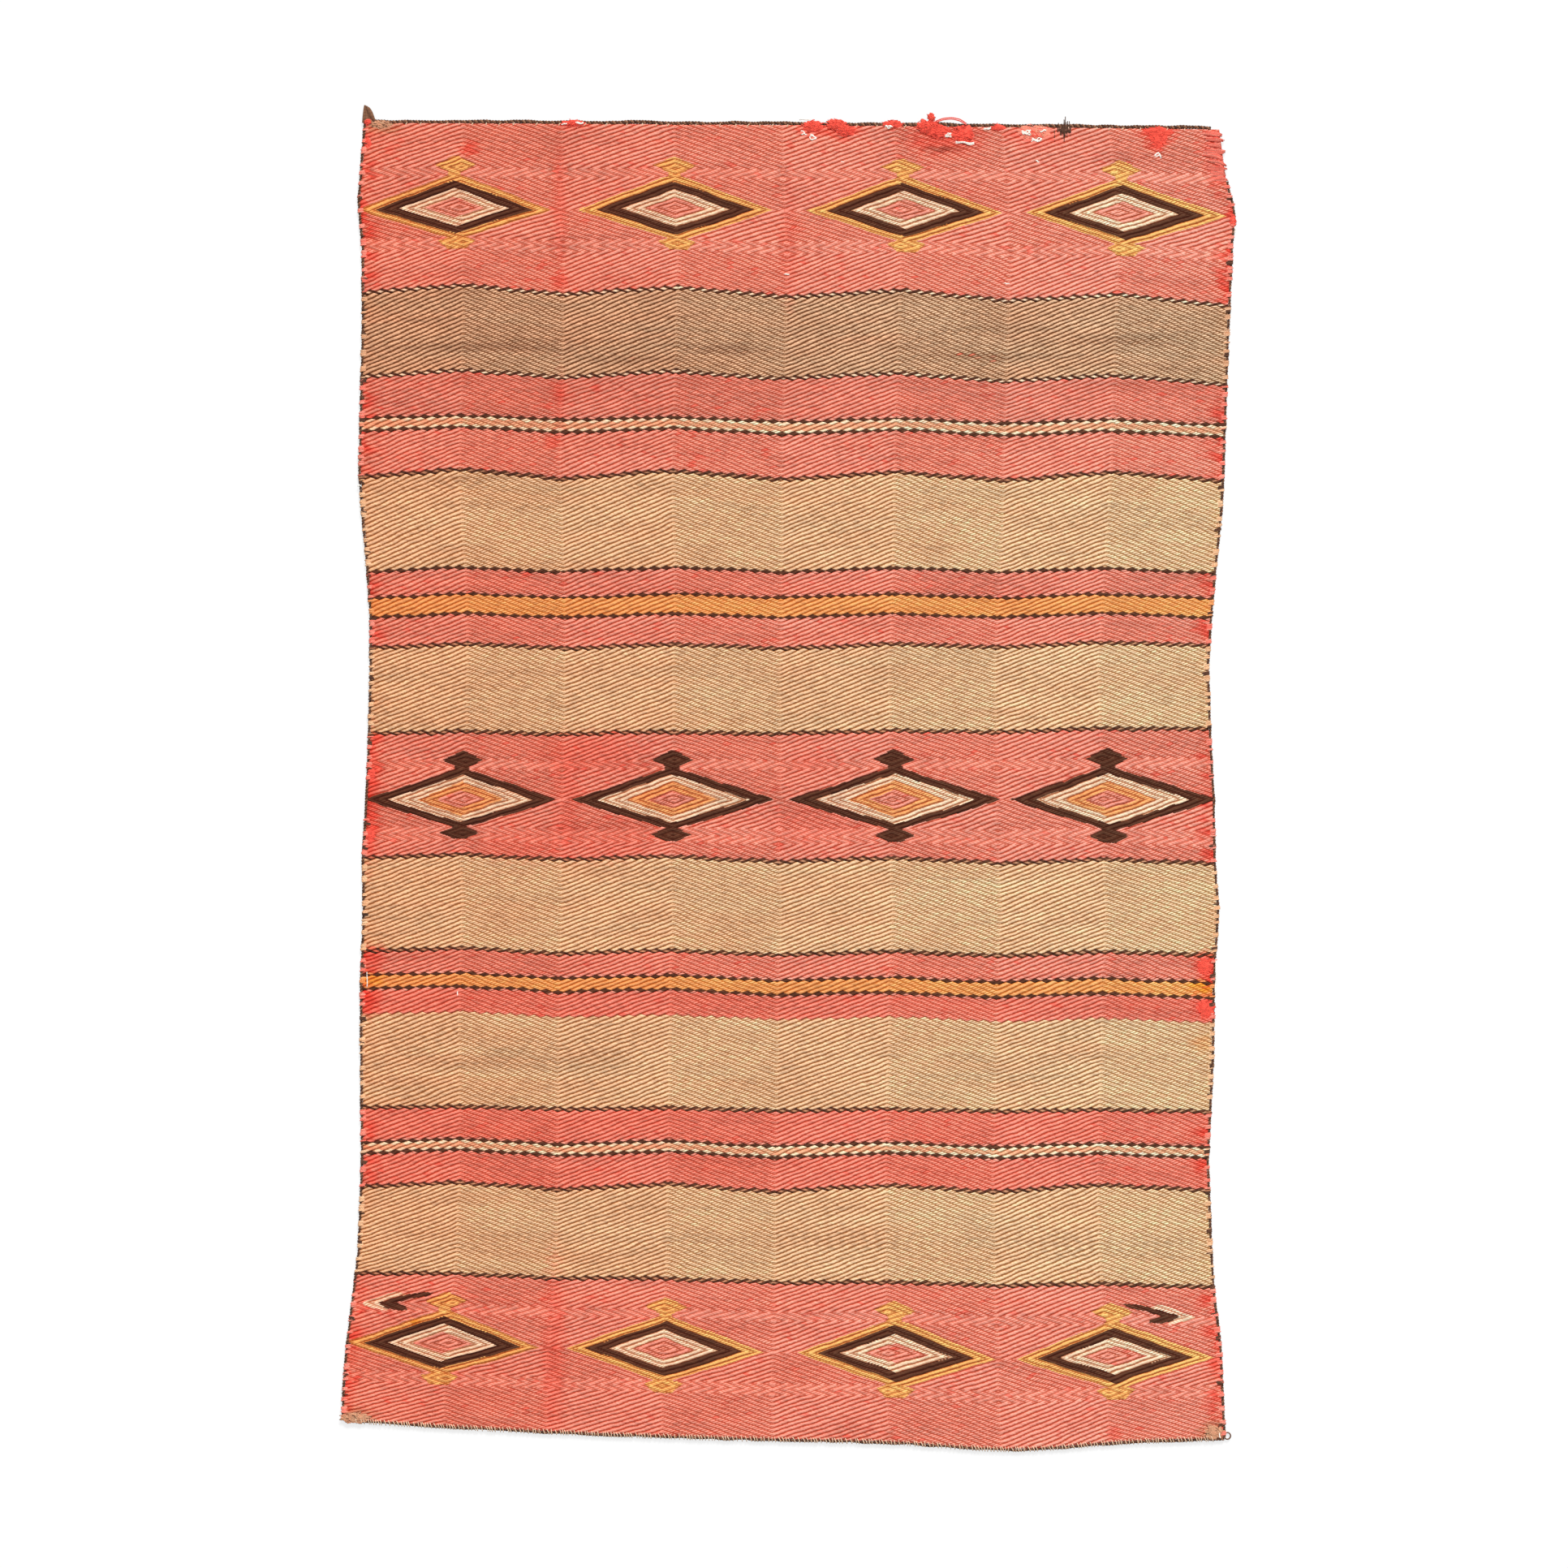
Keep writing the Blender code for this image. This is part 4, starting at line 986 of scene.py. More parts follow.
spun_yarn = spun_wool("spun_yarn")
print("spun yarn ready")

# %% [markdown]
# ## Bands, lines and diamonds
# Each plain band becomes one closed piece that takes the place of its solid and rides on its half of the
# blanket. The thin lines of each half share a piece. A double saddle blanket folds over its middle, and split
# there the middle band with its chain of diamonds would open like a book. So each of these is one piece,
# kept where it is made and carried by neither half.

# %% How a piece takes the place of solids
pieces = {}


def settle(piece, half, slot, *nodes):
    """Lets a piece stand for solids and ride on a half or, without one, stay where it was made."""
    if half:
        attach(piece, half + "_half")
    else:
        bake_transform(piece)
    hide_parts(*nodes)
    pieces[piece.name] = piece


# %% Make the bands, lines and diamonds
def half_of(index):
    return "upper" if band_stops[index] <= FOLD_ROW else "lower"


for index, (name, yarn, _) in enumerate(BANDS):
    if yarn in ("line", "bead") or name in middle_bands:
        continue
    slot = yarn + "_wool"
    piece = cut_piece(name + "_weft", face_piece == index, yarn != "cream", wools[slot])
    settle(piece, half_of(index), slot, name)
for kind, title in (("line", "dark_lines_"), ("bead", "bead_lines_")):
    for half in ("upper", "lower"):
        members = [
            index for index, (_, yarn, _) in enumerate(BANDS) if yarn == kind and half_of(index) == half]
        piece = cut_piece(title + half, np.isin(face_piece, members), False, wools["brown_wool"])
        settle(piece, half, "brown_wool", *[band_names[index] for index in members])

middle_indexes = [band_names.index(name) for name in middle_bands]
piece = cut_piece("middle_band_weft", np.isin(face_piece, middle_indexes), True, wools["red_wool"])
settle(piece, None, "red_wool", *middle_bands)
chosen = face_piece == piece_names.index("middle_diamonds")
piece = cut_piece("middle_diamonds", chosen, False, wools["diamond_wool"])
settle(piece, None, "diamond_wool", "middle_diamonds_upper", "middle_diamonds_lower")
for half in ("upper", "lower"):
    for number in range(1, 5):
        title = f"diamond_{half}_{number}"
        chosen = face_piece == piece_names.index(title)
        piece = cut_piece(title + "_inlay", chosen, False, wools["diamond_wool"])
        settle(piece, half, "diamond_wool", title)
print(len(pieces), "pieces,", sum(len(piece.data.polygons) for piece in pieces.values()), "faces")

# %% [markdown]
# ## Yarns that can be seen one by one
# Round the edge the yarns leave the cloth: cords, loops, frayed ends and warp. Each is a round tube of wool
# along a path. A curve with a bevel would be shorter to write, but one mesh of all the tubes keeps the dye
# of every yarn and the slant of its twist as attributes, and gives each face its own square to bake into.

# %% A tube of yarn
YARN_SIDES = 7
TWIST_REACH = 5
NEARLY_UP = (0.03, 0.05, 1)
LEVEL = (0, 1, 0)
SQUARE_SHARE = 0.40


def length_so_far(path):
    return np.concatenate(([0], np.cumsum(np.linalg.norm(np.diff(path, axis=0), axis=1))))


def tube(path, radius, dye, sides=YARN_SIDES, across=NEARLY_UP):
    """Points, corner lists, corner counts, dyes and twist of a closed tube along a path."""
    path = np.asarray(path, float)
    steps = len(path)
    ahead = np.gradient(path, axis=0)
    side = np.cross(ahead, across)
    side = side / np.linalg.norm(side, axis=1, keepdims=True)
    up = np.cross(side, ahead)
    up = up / np.linalg.norm(up, axis=1, keepdims=True)
    angle = np.arange(sides) * 2 * math.pi / sides
    reach = np.broadcast_to(radius, steps)[:, None, None]
    ring = np.cos(angle)[:, None] * side[:, None] + np.sin(angle)[:, None] * up[:, None]
    points = (path[:, None] + reach * ring).reshape(-1, 3)
    k, j = np.meshgrid(np.arange(sides), np.arange(steps - 1))
    following = (k + 1) % sides
    near, far = j * sides, (j + 1) * sides
    quads = np.stack((near + k, far + k, far + following, near + following), -1)
    last = (steps - 1) * sides
    loops = np.concatenate((quads.ravel(), np.arange(sides), last + np.arange(sides)[::-1]))
    counts = np.concatenate((np.full((steps - 1) * sides, 4), (sides, sides)))
    twist = np.stack((
        np.repeat(length_so_far(path) / (TWIST_REACH * np.max(radius)), sides),
        np.tile(angle / (2 * math.pi), steps), np.zeros(steps * sides)), axis=1)
    return points, loops, counts, np.broadcast_to(dye, (len(counts), 3)), twist


def strand(knots, steps, radius, dye, sides=YARN_SIDES, across=NEARLY_UP):
    """A tube on a path of even steps through a few knots, with its bends eased."""
    knots = np.asarray(knots, float)
    places = np.linspace(0, 1, steps)
    knot_places = np.linspace(0, 1, len(knots))
    path = np.stack([np.interp(places, knot_places, knots[:, axis]) for axis in range(3)], axis=1)
    for _ in range(2):
        path[1:-1] = (path[:-2] + 2 * path[1:-1] + path[2:]) / 4
    return tube(path, radius, dye, sides, across)


def yarn_piece(name, tubes):
    """One mesh of many tubes of yarn, with a small square of the map for each face."""
    starts = np.cumsum([0] + [len(parts[0]) for parts in tubes])
    loops = np.concatenate([parts[1] + start for parts, start in zip(tubes, starts)])
    points, _, counts, dyes, twist = (np.concatenate([parts[kind] for parts in tubes]) for kind in range(5))
    per_row = math.ceil(math.sqrt(len(counts)))
    of_face = np.repeat(np.arange(len(counts)), counts)
    turn_in_face = np.arange(len(of_face)) - np.repeat(np.cumsum(counts) - counts, counts)
    angle = 2 * math.pi * (turn_in_face + 0.5) / np.repeat(counts, counts)
    square = 0.5 + SQUARE_SHARE * np.stack((np.cos(angle), np.sin(angle)), axis=1)
    spots = (np.stack((of_face % per_row, of_face // per_row), axis=1) + square) / per_row
    return show(name, points, loops, counts, counts == 4, twist, dyes, spots, spun_yarn)


print("a yarn has", YARN_SIDES, "sides")

# %% [markdown]
# ## Edge cords
# At its sides and ends the blanket is bound by dark two-ply cords, which are twisted round each other and
# through the last warps as the work goes on. Between the bound spots the weft loops round the cord. Here two
# tubes wind round the edge line, and the loops are short tubes in the yarn of their own pick. The cord is
# thick at the upper end and thin at the lower end, as on the real one.

# %% Lines that the cords follow
CORD_HEIGHT = 0.0026
UPPER_OFFSET = 0.0016
LOWER_OFFSET = 0.0010
SIDE_OFFSET = 0.0011
CORD_STEP = 0.00085
SIDE_SWAY = 0.0004
END_SWAY = 0.0007
RISE_AND_FALL = 0.0002
# outward direction and warp of each side, outward direction and pick of each end
SIDES = {"left": (-1, 0.0), "right": (1, float(WARPS))}
ENDS = {"upper": (1, 0.0, UPPER_OFFSET), "lower": (-1, float(ROWS), LOWER_OFFSET)}
SIDE_FROM_ROW = {"left": 0, "right": 47}
TOP_CORD_TO_WARP = 284


def side_line(side, row_from, row_to):
    """The middle of a side cord between two picks."""
    outward, warp = SIDES[side]
    steps = max(int((row_to - row_from) * PICK / CORD_STEP), 3)
    rows_here = np.linspace(row_from, row_to, steps)
    x, y = place(np.full(steps, warp), rows_here)
    sway = SIDE_SWAY * drift(rows_here * 0 + (side == "right"), rows_here, 1, 9, 51)
    height = CORD_HEIGHT + RISE_AND_FALL * drift(rows_here * 0, rows_here, 1, 9, 52)
    return np.stack((x + outward * SIDE_OFFSET + sway, y, height), axis=1)


def end_line(end, warp_to):
    """The middle of an end cord from the left corner to a warp."""
    outward, row, offset = ENDS[end]
    steps = int(warp_to * WARP_PITCH / CORD_STEP)
    warps_here = np.linspace(0, warp_to, steps)
    x, y = place(warps_here, np.full(steps, row))
    sway = END_SWAY * drift(warps_here, warps_here * 0 + row, 5, 100, 53)
    return np.stack((x, y + outward * offset + sway, np.full(steps, CORD_HEIGHT)), axis=1)


print("upper cord runs", round(TOP_CORD_TO_WARP * WARP_PITCH, 3), "m")

# %% Two plies wound round a line
PLY_TURN = 0.0062
PLY_NESTING = 0.9
LONGEST_CORD = 2
TURN_STRAY, TURN_REACH = 1.2, 0.03
GIRTH_STRAY, GIRTH_REACH = 0.14, 0.006
DARK_PLY = to_colour(88, 57, 42)
BROWN_PLY = to_colour(130, 90, 66)


def along_cord(gone, reach, seed):
    """A random wave along a cord from -1 to 1, with a new draw at each reach in metres."""
    stations = np.arange(0, LONGEST_CORD, reach)
    return np.interp(gone, stations, draw(np.arange(len(stations)), seed))


def two_ply(line, ply_radius, seed, second=BROWN_PLY):
    """The two plies of a cord, which lie against each other."""
    ahead = np.gradient(line, axis=0)
    gone = length_so_far(line)
    level = np.stack((-ahead[:, 1], ahead[:, 0], ahead[:, 0] * 0), axis=1)
    level = level / np.linalg.norm(level, axis=1, keepdims=True)
    wound = 2 * math.pi * gone / PLY_TURN + TURN_STRAY * along_cord(gone, TURN_REACH, seed)
    girth = ply_radius * (1 + GIRTH_STRAY * along_cord(gone, GIRTH_REACH, seed + 1))
    made = []
    for ply, dye in enumerate((DARK_PLY, second)):
        turn = wound + math.pi * ply
        path = line + PLY_NESTING * girth[:, None] * np.cos(turn)[:, None] * level
        path[:, 2] += PLY_NESTING * girth * np.sin(turn)
        points, loops, counts, dyes, twist = tube(path, girth, dye)
        shares = 1 + 0.35 * draw(np.arange(len(counts)) // (YARN_SIDES * 3) + 977 * ply, seed + 2)
        made.append((points, loops, counts, dyes * shares[:, None], twist))
    return made


print("a ply turns once in", PLY_TURN * 1000, "mm")

# %% Loops of weft and dark turns round the side cords
LOOP_RADIUS = 0.00074
LOOP_SECTION = (
    (-0.0036, 0.0036), (-0.0018, 0.0044), (0.0002, 0.0046), (0.0018, 0.0042), (0.0031, 0.0033),
    (0.0033, 0.0022), (0.0022, 0.0011), (0.0002, 0.0009))
LOOP_PICKS = 0.95
BIGHT_RADIUS = 0.00070
BIGHT_GAP = 0.0013
UNBLEACHED = np.array((0.86, 0.62, 0.45))


def loop_dye(row, seed):
    """The yarn of a pick, deeper in colour where the sun never bleached it."""
    plain = pick_dyes[min(int(row), ROWS - 1)]
    depth = 0.35 + 0.35 * float(draw(seed, 61))
    deeper = DYES["vivid"] if plain[0] > 0.6 and plain[1] < 0.4 else plain * UNBLEACHED
    return (plain * (1 - depth) + deeper * depth) * (1 + 0.12 * float(draw(seed, 62)))


def side_loops(side, row_from, row_to, seed):
    """Runs of weft loops over a side cord, and bare cord between them."""
    chance = np.random.default_rng(seed)
    outward, warp = SIDES[side]
    made = []
    row = row_from + chance.uniform(2, 6)
    while row < row_to - 4:
        run_end = min(row + chance.uniform(1.5, 6), row_to - 2)
        while row < run_end:
            x, y = place(warp, row)
            tilt = -outward * chance.uniform(-0.0018, -0.0008)
            wide = chance.uniform(0.62, 1.0)
            start = chance.uniform(-0.0008, 0.0006)
            knots = []
            for number, (out, high) in enumerate(LOOP_SECTION):
                out = out * wide if out > 0 else out + start * (number == 0)
                knots.append((x + outward * out, y + tilt * (number / (len(LOOP_SECTION) - 1)), high))
            radius = LOOP_RADIUS * chance.uniform(0.8, 1.12)
            made.append(strand(knots, 12, radius, loop_dye(row, int(row * 7) + seed), sides=6, across=LEVEL))
            row += LOOP_PICKS * chance.uniform(0.85, 1.25)
        row += chance.uniform(2.5, 11)
    return made


def dark_turns(side, row_from, row_to, seed):
    """Short dark bights where the cord was carried in round the last warps."""
    chance = np.random.default_rng(seed)
    outward, warp = SIDES[side]
    made = []
    row = row_from + chance.uniform(5, 40)
    while row < row_to - 6:
        x, y = place(warp, row)
        deep = chance.uniform(0.0016, 0.0050)
        for bight in range(int(chance.integers(1, 4))):
            y_here = y - bight * BIGHT_GAP
            knots = (
                (x + outward * 0.0026, y_here + 0.0004, 0.0034), (x + outward * 0.0012, y_here, 0.0047),
                (x - outward * deep * 0.6, y_here - 0.0004, 0.0049),
                (x - outward * deep, y_here - 0.0010, 0.0040))
            shade = DARK_PLY * (1 + 0.5 * chance.uniform(-0.5, 1))
            made.append(strand(knots, 9, BIGHT_RADIUS, shade, sides=6, across=LEVEL))
        row += chance.uniform(16, 62)
    return made


print("loops of yarn", round(LOOP_RADIUS * 2000, 2), "mm thick")

# %% Cords of the two halves and across the fold
FOLD_PIECE_ROWS = 14
UPPER_PLY = 0.00122
SIDE_PLY = 0.00088
LOWER_PLY = 0.00092

fold_rows = (FOLD_ROW - FOLD_PIECE_ROWS, FOLD_ROW + FOLD_PIECE_ROWS)
for half, row_from, row_to in (("upper", 0, fold_rows[0]), ("lower", fold_rows[1], ROWS)):
    tubes = []
    for number, side in enumerate(SIDES):
        first = max(row_from, SIDE_FROM_ROW[side])
        tubes += two_ply(side_line(side, first, row_to), SIDE_PLY, 70 + row_from + number)
        tubes += side_loops(side, first, row_to, 80 + row_from + number)
        tubes += dark_turns(side, first, row_to, 90 + row_from + number)
    if half == "upper":
        tubes += two_ply(end_line(half, TOP_CORD_TO_WARP), UPPER_PLY, 75)
    else:
        tubes += two_ply(end_line(half, WARPS), LOWER_PLY, 77, second=BROWN_PLY * 1.3)
    cords = [f"side_cord_left_{half}", f"side_cord_right_{half}", f"end_cord_{half}"]
    settle(yarn_piece("edge_cords_" + half, tubes), half, "cord_wool", *cords)
for number, side in enumerate(SIDES):
    piece = yarn_piece("fold_cord_" + side, two_ply(side_line(side, *fold_rows), SIDE_PLY, 95 + number))
    settle(piece, None, "cord_wool", f"side_cord_{side}_upper", f"side_cord_{side}_lower")
print("fold cords", round(2 * FOLD_PIECE_ROWS * PICK, 4), "m long")

# %% [markdown]
# ## Wear
# A blanket that lay under a saddle is not neat at its rim. At the upper end the weft has felted into lumps
# that stand a little over the cloth, and broken warps show white between them. The upper right corner has
# lost its cord, and its weft ends hang out. The cords end in a twisted tail at the upper left and in a ring
# at the lower right. Lumps and strands are scattered by seeded draws inside the measured places.

# %% Lumps of felt and the strands on them
MOUND_RINGS = 14
MOUND_SECTORS = 72
UNDER_FELT = 0.0043
RUBBED_RISE = 0.0004
ROOM_ABOVE_PICKS = 12
STRANDS_PER_AREA = 0.5
STRAND_RADIUS = 0.00046
STRAND_DEPTH = 0.00025


def dome(away):
    """The height of felt as a share of its rise, from 1 in the middle to 0 at its outline."""
    return np.clip(1 - away ** 2.2, 0, 1) ** 0.6


def felt_top(x, y):
    """How high felt stands over a place, or the rubbed cloth where there is none."""
    top = np.full(np.shape(x), UNDER_FELT + RUBBED_RISE)
    for *spot, rise in TUFTS_PX:
        top = np.maximum(top, UNDER_FELT + rise * dome(away_from(x, y, *spot)))
    return top


def mound(x_px, y_px, half_x, half_y, rise, yarns, seed):
    """A closed lump of felt: rings of points from a ragged rim up to a crown, over a flat foot."""
    chance = np.random.default_rng(seed)
    middle_x, middle_y = on_photo(x_px, y_px)
    turn = np.arange(MOUND_SECTORS) * 2 * math.pi / MOUND_SECTORS
    rim = 0.98 + sum(
        chance.uniform(0.01, 0.07) * np.sin(wave * turn + chance.uniform(0, 6.3)) for wave in range(2, 14))
    share = np.linspace(1, 0.05, MOUND_RINGS)[:, None]
    x = middle_x + share * rim * np.cos(turn) * half_x * PHOTO_PX
    y = middle_y + share * rim * np.sin(turn) * half_y * PHOTO_PX
    warp, row = x / WARP_PITCH + WARPS / 2, (upper_end_y - y) / PICK + ROOM_ABOVE_PICKS
    lumps = drift(warp, row, 0.9, 0.8, seed) + 0.6 * drift(warp, row, 0.35, 0.4, seed + 1)
    z = UNDER_FELT + rise * dome(share) * (0.84 + 0.16 * lumps)
    points = np.stack((x, y, z), axis=-1).reshape(-1, 3)
    k, j = np.meshgrid(np.arange(MOUND_SECTORS), np.arange(MOUND_RINGS - 1))
    following = (k + 1) % MOUND_SECTORS
    low, high = j * MOUND_SECTORS, (j + 1) * MOUND_SECTORS
    quads = np.stack((low + k, low + following, high + following, high + k), -1)
    rim_points = np.arange(MOUND_SECTORS)
    loops = np.concatenate((quads.ravel(), (MOUND_RINGS - 1) * MOUND_SECTORS + rim_points, rim_points[::-1]))
    counts = np.concatenate((np.full(quads.size // 4, 4), (MOUND_SECTORS, MOUND_SECTORS)))
    mix = np.stack([DYES[yarn] for yarn in yarns]).mean(axis=0)
    # painted shade: faces are darker where the lumps sink and lighter where they rise, with a random tone on
    # top
    shade = 0.88 + 0.24 * lumps[:-1].ravel() + 0.12 * chance.uniform(-1, 1, quads.size // 4)
    return points, loops, counts, mix * np.concatenate((shade, (0.9, 0.9)))[:, None], points * 0


def felt(x_px, y_px, half_x, half_y, rise, yarns, seed):
    """A lump of felt and the short strands that lie on it, most of them along the weft."""
    chance = np.random.default_rng(seed)
    middle_x, middle_y = on_photo(x_px, y_px)
    made = [mound(x_px, y_px, half_x, half_y, rise, yarns, seed)]
    for _ in range(int(half_x * half_y * STRANDS_PER_AREA) + 6):
        angle = chance.uniform(0, 2 * math.pi)
        away = math.sqrt(chance.uniform(0, 1)) * 1.02
        x = middle_x + away * math.cos(angle) * half_x * PHOTO_PX
        y = middle_y + away * math.sin(angle) * half_y * PHOTO_PX
        heading = chance.normal(-0.15, 0.5)
        length = min(chance.uniform(0.002, 0.006), 0.6 * half_x * PHOTO_PX)
        across = np.array((-1, 0, 1)) * length / 2
        xs = x + across * math.cos(heading)
        ys = y + across * math.sin(heading) + np.array((0, 1, 0)) * chance.normal(0, 0.0006)
        knots = np.stack((xs, ys, felt_top(xs, ys) - STRAND_DEPTH), axis=1)
        dye = DYES[yarns[int(chance.integers(len(yarns)))]] * chance.uniform(0.85, 1.12)
        made.append(strand(knots, 6, STRAND_RADIUS * chance.uniform(0.7, 1.1), dye, sides=4))
    return made


tufts = {"upper": [], "lower": []}
for number, tuft in enumerate(TUFTS_PX):
    half = "upper" if on_photo(0, tuft[1])[1] > fold_axis[1] else "lower"
    tufts[half] += felt(*tuft, OTHER_FELTS.get(number, RED_FELT), 200 + 3 * number)
print(sum(len(tubes) for tubes in tufts.values()), "lumps and strands in the tufts")

# %% Frayed corner and a pulled yarn
FRAY_ROWS = (1.5, 47)
FINGERS = 9
FINGER_STRANDS = 26
PULLED_YARN_PX = ((1153, 149), (1162, 145.5), (1173, 144.5), (1183, 147), (1191, 152))
PULLED_SHIFTS_PX = (0, 2.2)
PULLED_HEIGHT = 0.0056
PULLED_RADIUS = 0.00062


def frayed_corner(seed):
    """Weft ends at the upper right, matted into fingers that hang out over the edge."""
    chance = np.random.default_rng(seed)
    made = []
    for finger in range(FINGERS):
        x, y = place(WARPS, FRAY_ROWS[0] + (FRAY_ROWS[1] - FRAY_ROWS[0]) * (finger + 0.5) / FINGERS)
        root = chance.uniform(0.015, 0.024)
        out = chance.uniform(-0.0015, 0.0030)
        drop = chance.uniform(0.0008, 0.0040)
        for _ in range(FINGER_STRANDS):
            spread = chance.normal(0, 0.0009)
            start = root * chance.uniform(0.45, 1)
            end = out + chance.uniform(-0.0050, 0.0012)
            knots = (
                (x - start, y + spread + drop / 3, 0.0040), (x - start * 0.85, y + spread + drop / 3, 0.0047),
                (x - start * 0.4, y + spread * 1.15, 0.0047), (x - 0.001, y + spread - drop / 2, 0.0043),
                (x + end, y + spread * 0.6 - drop, chance.uniform(0.0018, 0.0036)))
            faded = chance.uniform(0.1, 0.75)
            dye = (DYES["red"] * faded + DYES["vivid"] * (1 - faded)) * chance.uniform(0.70, 1.12)
            made.append(strand(knots, 9, chance.uniform(0.00045, 0.00078), dye, sides=5))
    return made


def pulled_yarn(seed):
    """Two weft yarns drawn out of the cloth in an arch over the upper cord."""
    chance = np.random.default_rng(seed)
    made = []
    for shift in PULLED_SHIFTS_PX:
        knots = [
            (*on_photo(x, y + shift + chance.uniform(-0.3, 0.3)), PULLED_HEIGHT) for x, y in PULLED_YARN_PX]
        made.append(strand(knots, 24, PULLED_RADIUS, DYES["vivid"] * 0.9))
    return made


tufts["upper"] += frayed_corner(320) + pulled_yarn(330)
for half, tubes in tufts.items():
    settle(yarn_piece("felted_tufts_" + half, tubes), half, "red_wool", "side_cord_right_" + half)
print("strands of the corner", FINGERS * FINGER_STRANDS)

# %% Warp ends
# middle in the photograph, half width, half height and number of threads
WARP_ENDS_PX = (
    (990.5, 164, 4, 3.5, 2), (1001.5, 169, 5, 4, 3), (992, 147, 7, 1, 1), (1095, 157, 5, 3, 2),
    (1038, 199, 2, 1.5, 1), (1168, 166, 4.5, 4, 3), (1188, 177, 13, 3.5, 3), (1216, 158, 5, 2, 2),
    (1264, 163, 6, 4, 3), (1277, 172, 7, 4, 3), (1285, 161, 4, 2, 1), (1278, 199, 2.5, 2, 1),
    (1426, 191.5, 5, 4.5, 3), (695, 152, 4, 2, 1), (714, 151, 5, 2, 2), (1240, 349, 4, 1, 1),
    (969, 338, 4, 1, 1), (443, 598, 2.5, 2, 1), (452, 1206, 1, 11, 1), (1498, 1194, 1, 14, 1),
    (1498, 1214, 1, 11, 1), (564, 1223, 1, 4, 1), (1504, 1768, 3, 4, 1), (1522, 283, 1.5, 4, 1))
WARP_RADIUS = 0.00064
HIGHEST_STRAND = 0.00548
CLEAR_OF_FOLD_PX = 182
# warps from one turn to the next that shows, last warp and reach out of the cloth
END_LOOPS = {"upper": (6.5, TOP_CORD_TO_WARP, 0.0002), "lower": (1.15, WARPS - 3, 0.0024)}


def loose_warp(x_px, y_px, half_x, half_y, threads, seed):
    """Short curling white threads inside a small place on the cloth."""
    chance = np.random.default_rng(seed)
    made = []
    for _ in range(threads):
        knots = []
        for share in np.linspace(-0.95, 0.95, 5):
            long_way = half_x >= half_y
            across_x = share if long_way else chance.uniform(-0.8, 0.8)
            across_y = chance.uniform(-0.9, 0.9) if long_way else share
            x, y = on_photo(x_px + across_x * half_x, y_px + across_y * half_y)
            over_felt = float(felt_top(x, y)) + 0.4 * WARP_RADIUS
            over_cloth = HIGHEST_STRAND - WARP_RADIUS - chance.uniform(0, 0.00025)
            knots.append((x, y, max(over_felt, over_cloth) if y_px < CLEAR_OF_FOLD_PX else over_cloth))
        knots[0] = (*knots[0][:2], knots[0][2] - 0.0012)
        dye = DYES["white"] * chance.uniform(0.94, 1.06)
        made.append(strand(knots, 14, WARP_RADIUS * chance.uniform(0.9, 1.3), dye, sides=5))
    return made


def end_loops(end, seed):
    """Pale warp turns that show through an end cord."""
    chance = np.random.default_rng(seed)
    outward, row, _ = ENDS[end]
    gap, last, reach = END_LOOPS[end]
    warp = 4.0
    made = []
    while warp < last:
        x, y = place(warp, row)
        slant = chance.uniform(0.0002, 0.0014)
        knots = (
            (x - slant, y - outward * 0.0022, 0.0046), (x, y - outward * 0.0004, 0.0050),
            (x + slant, y + outward * reach, 0.0046), (x + slant, y + outward * (reach + 0.0010), 0.0034))
        made.append(strand(knots, 7, chance.uniform(0.00038, 0.00056), DYES["cream"] * 0.95, sides=4))
        warp += gap * chance.uniform(0.6, 1.5)
    return made


for half in ENDS:
    tubes = end_loops(half, 400)
    for number, spot in enumerate(WARP_ENDS_PX):
        if (on_photo(0, spot[1])[1] > fold_axis[1]) == (half == "upper"):
            tubes += loose_warp(*spot, 410 + number)
    settle(yarn_piece("warp_ends_" + half, tubes), half, "warp_wool", "warp_" + half)
print(sum(spot[-1] for spot in WARP_ENDS_PX), "loose warp ends")

# %% Corner tail, knot and ring
TAIL_FOOT_PX = (447.5, 462)
TAIL_FOOT_Y_PX = 151
TAIL_TIP_PX = (450.5, 128.6)
TAIL_STRANDS = 9
KNOT_PX = (1312, 161)
KNOT_STRANDS = 44
KNOT_RADIUS = 0.0005
RING_PX = (1512.5, 1769.5)
RING_RADIUS = 0.0034
RING_YARN = 0.00078
RING_HEIGHT = 0.0018
RING_RIPPLE = 0.0004


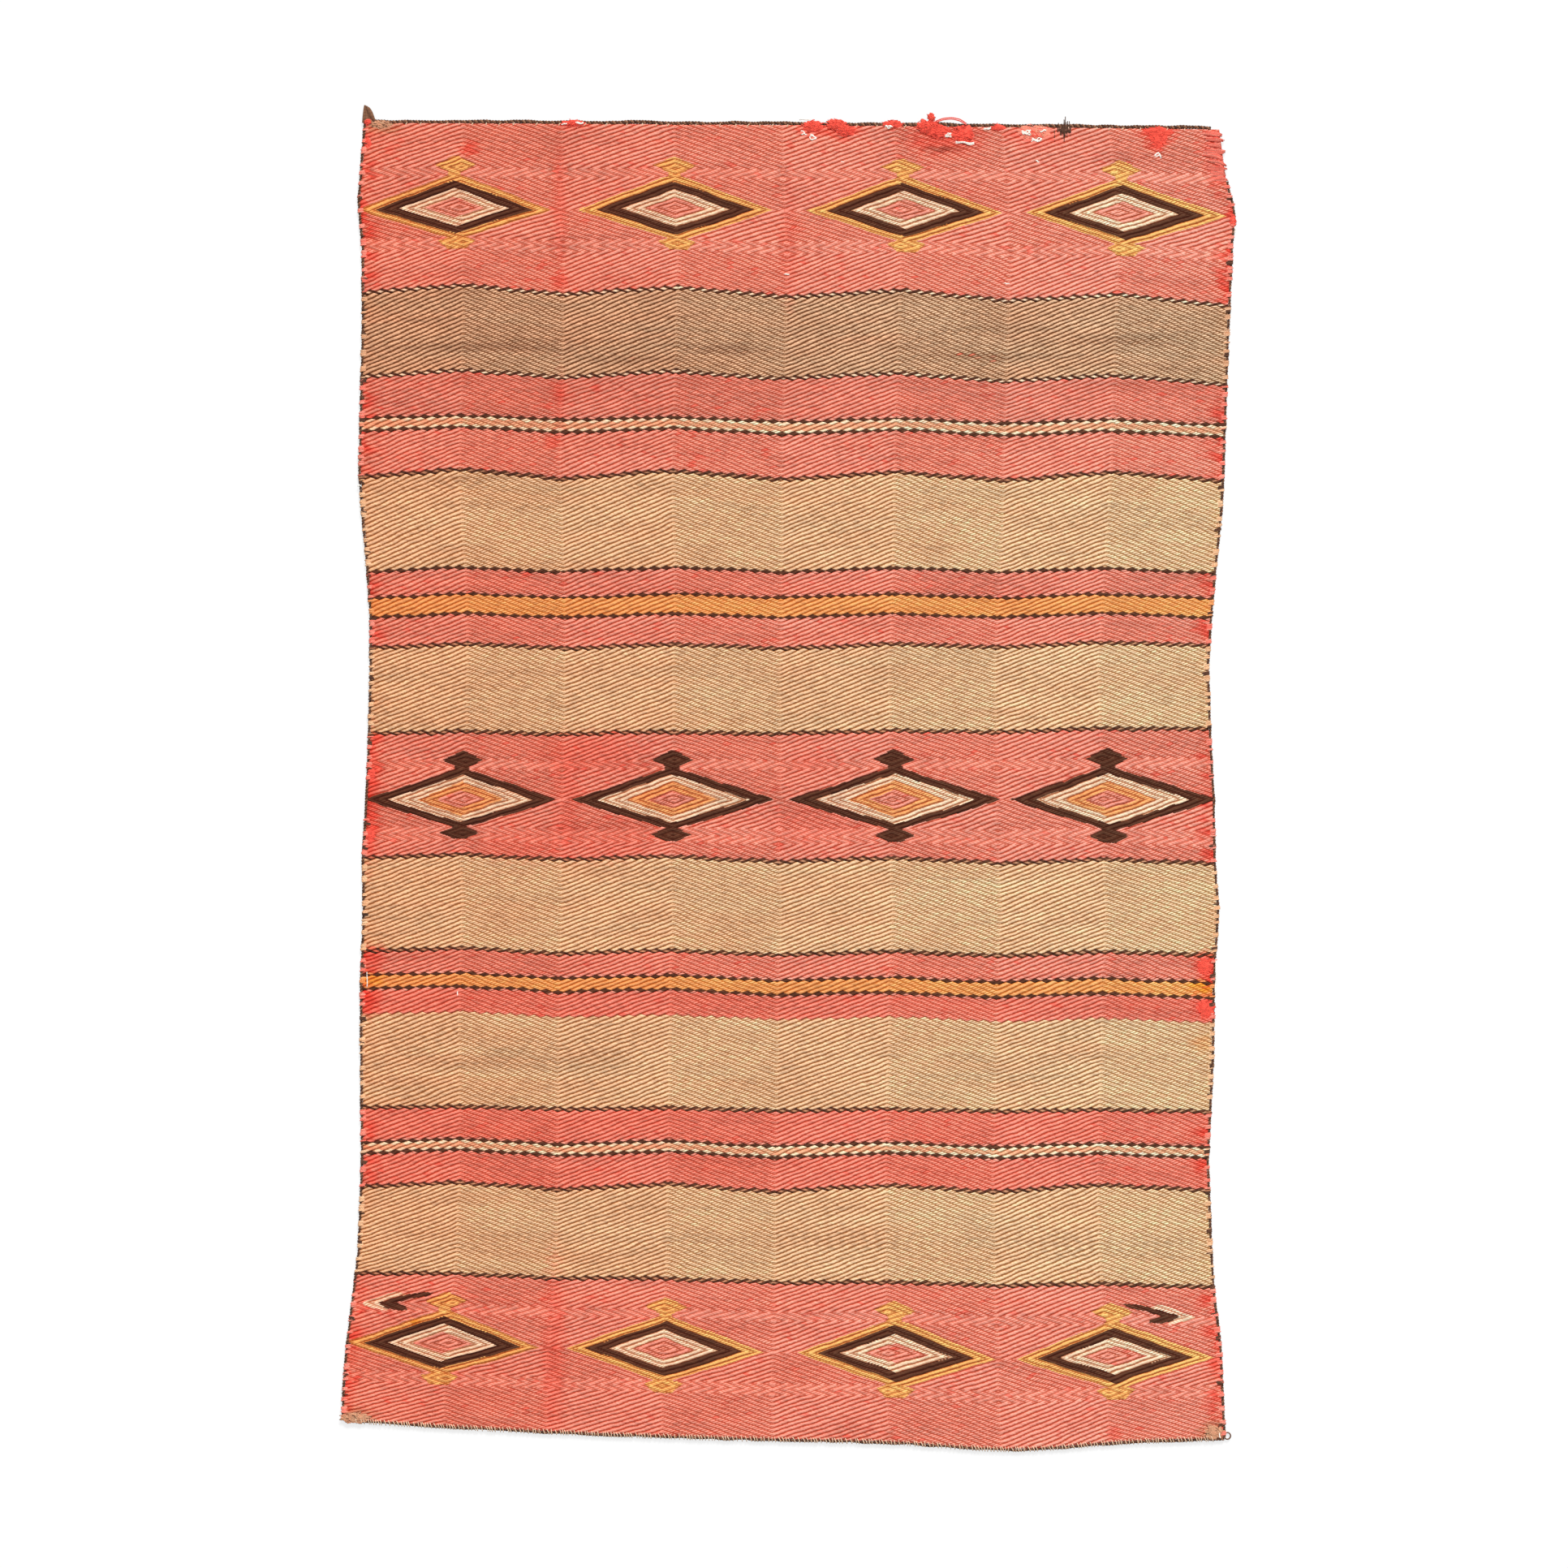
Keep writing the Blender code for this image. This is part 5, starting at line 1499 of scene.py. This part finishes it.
def corner_tail(seed):
    """Cord ends twisted together into a tail that tapers from its foot to its tip."""
    chance = np.random.default_rng(seed)
    tip_x, tip_y = on_photo(*TAIL_TIP_PX)
    radius = np.linspace(0.00135, 0.00095, 16)
    foot_from, foot_to = TAIL_FOOT_PX
    made = []
    for share in np.arange(TAIL_STRANDS) / (TAIL_STRANDS - 1):
        foot_x, foot_y = on_photo(foot_from + share * (foot_to - foot_from), TAIL_FOOT_Y_PX)
        reach = 1 - 0.16 * share - chance.uniform(0, 0.05)
        knots = []
        for gone in np.linspace(0, 1, 6):
            narrowing = 0.32 + 0.68 * (1 - gone) ** 0.65
            height = CORD_HEIGHT + 0.0012 * math.sin(2 * math.pi * (0.7 * gone + share)) * (1 - 0.6 * gone)
            x = tip_x + (foot_x - tip_x) * narrowing
            knots.append((x, foot_y + (tip_y - foot_y) * gone * reach, height))
        made.append(strand(knots, 16, radius, BROWN_PLY * chance.uniform(0.55, 1.05)))
    return made


def frayed_knot(seed):
    """A brown knot in the upper cord with short ends standing out of it."""
    chance = np.random.default_rng(seed)
    x, y = on_photo(*KNOT_PX)
    made = []
    for _ in range(KNOT_STRANDS):
        x_here = x + chance.normal(0, 0.0034)
        y_low = y - abs(chance.normal(0, 0.0034)) - 0.001
        y_high = y + abs(chance.normal(0, 0.0030)) + 0.002 + 0.006 * (chance.uniform() < 0.14)
        slant = chance.normal(0, 0.0010)
        high = chance.uniform(0.0046, 0.0064)
        knots = (
            (x_here, y_low, high * 0.8), (x_here + slant / 2, y, high), (x_here + slant, y_high, high * 0.7))
        made.append(strand(knots, 7, KNOT_RADIUS, DARK_PLY * chance.uniform(0.7, 1.4), sides=5))
    return made


tail = yarn_piece("corner_tail_cords", corner_tail(500) + frayed_knot(501))
settle(tail, "upper", "cord_wool", "corner_tail")
ring_x, ring_y = on_photo(*RING_PX)
turn = np.linspace(0, 2 * math.pi * 1.02, 36)
ring_path = np.stack((
    ring_x + RING_RADIUS * np.cos(turn), ring_y + RING_RADIUS * np.sin(turn),
    RING_HEIGHT + RING_RIPPLE * np.sin(3 * turn)), axis=1)
ring = yarn_piece("cord_ring", [tube(ring_path, RING_YARN, BROWN_PLY * 0.8)])
settle(ring, "lower", "cord_wool", "end_cord_lower")
print("tail of", TAIL_STRANDS, "cord ends, ring", round(2000 * (RING_RADIUS + RING_YARN), 1), "mm across")

# %% [markdown]
# ## Woven sheets
# Bands of twenty picks or more are sheets of cloth. Narrow stripes, lines, diamonds, cords and tufts are
# trimmings of the sheet that carries them. The loop below only passes over the bands and sets nothing.

SHEET_PICKS = 20


for index, (name, _, picks) in enumerate(BANDS):
    if picks < SHEET_PICKS or name + "_weft" not in pieces:
        continue

# %% Update the view layer
bpy.context.view_layer.update()
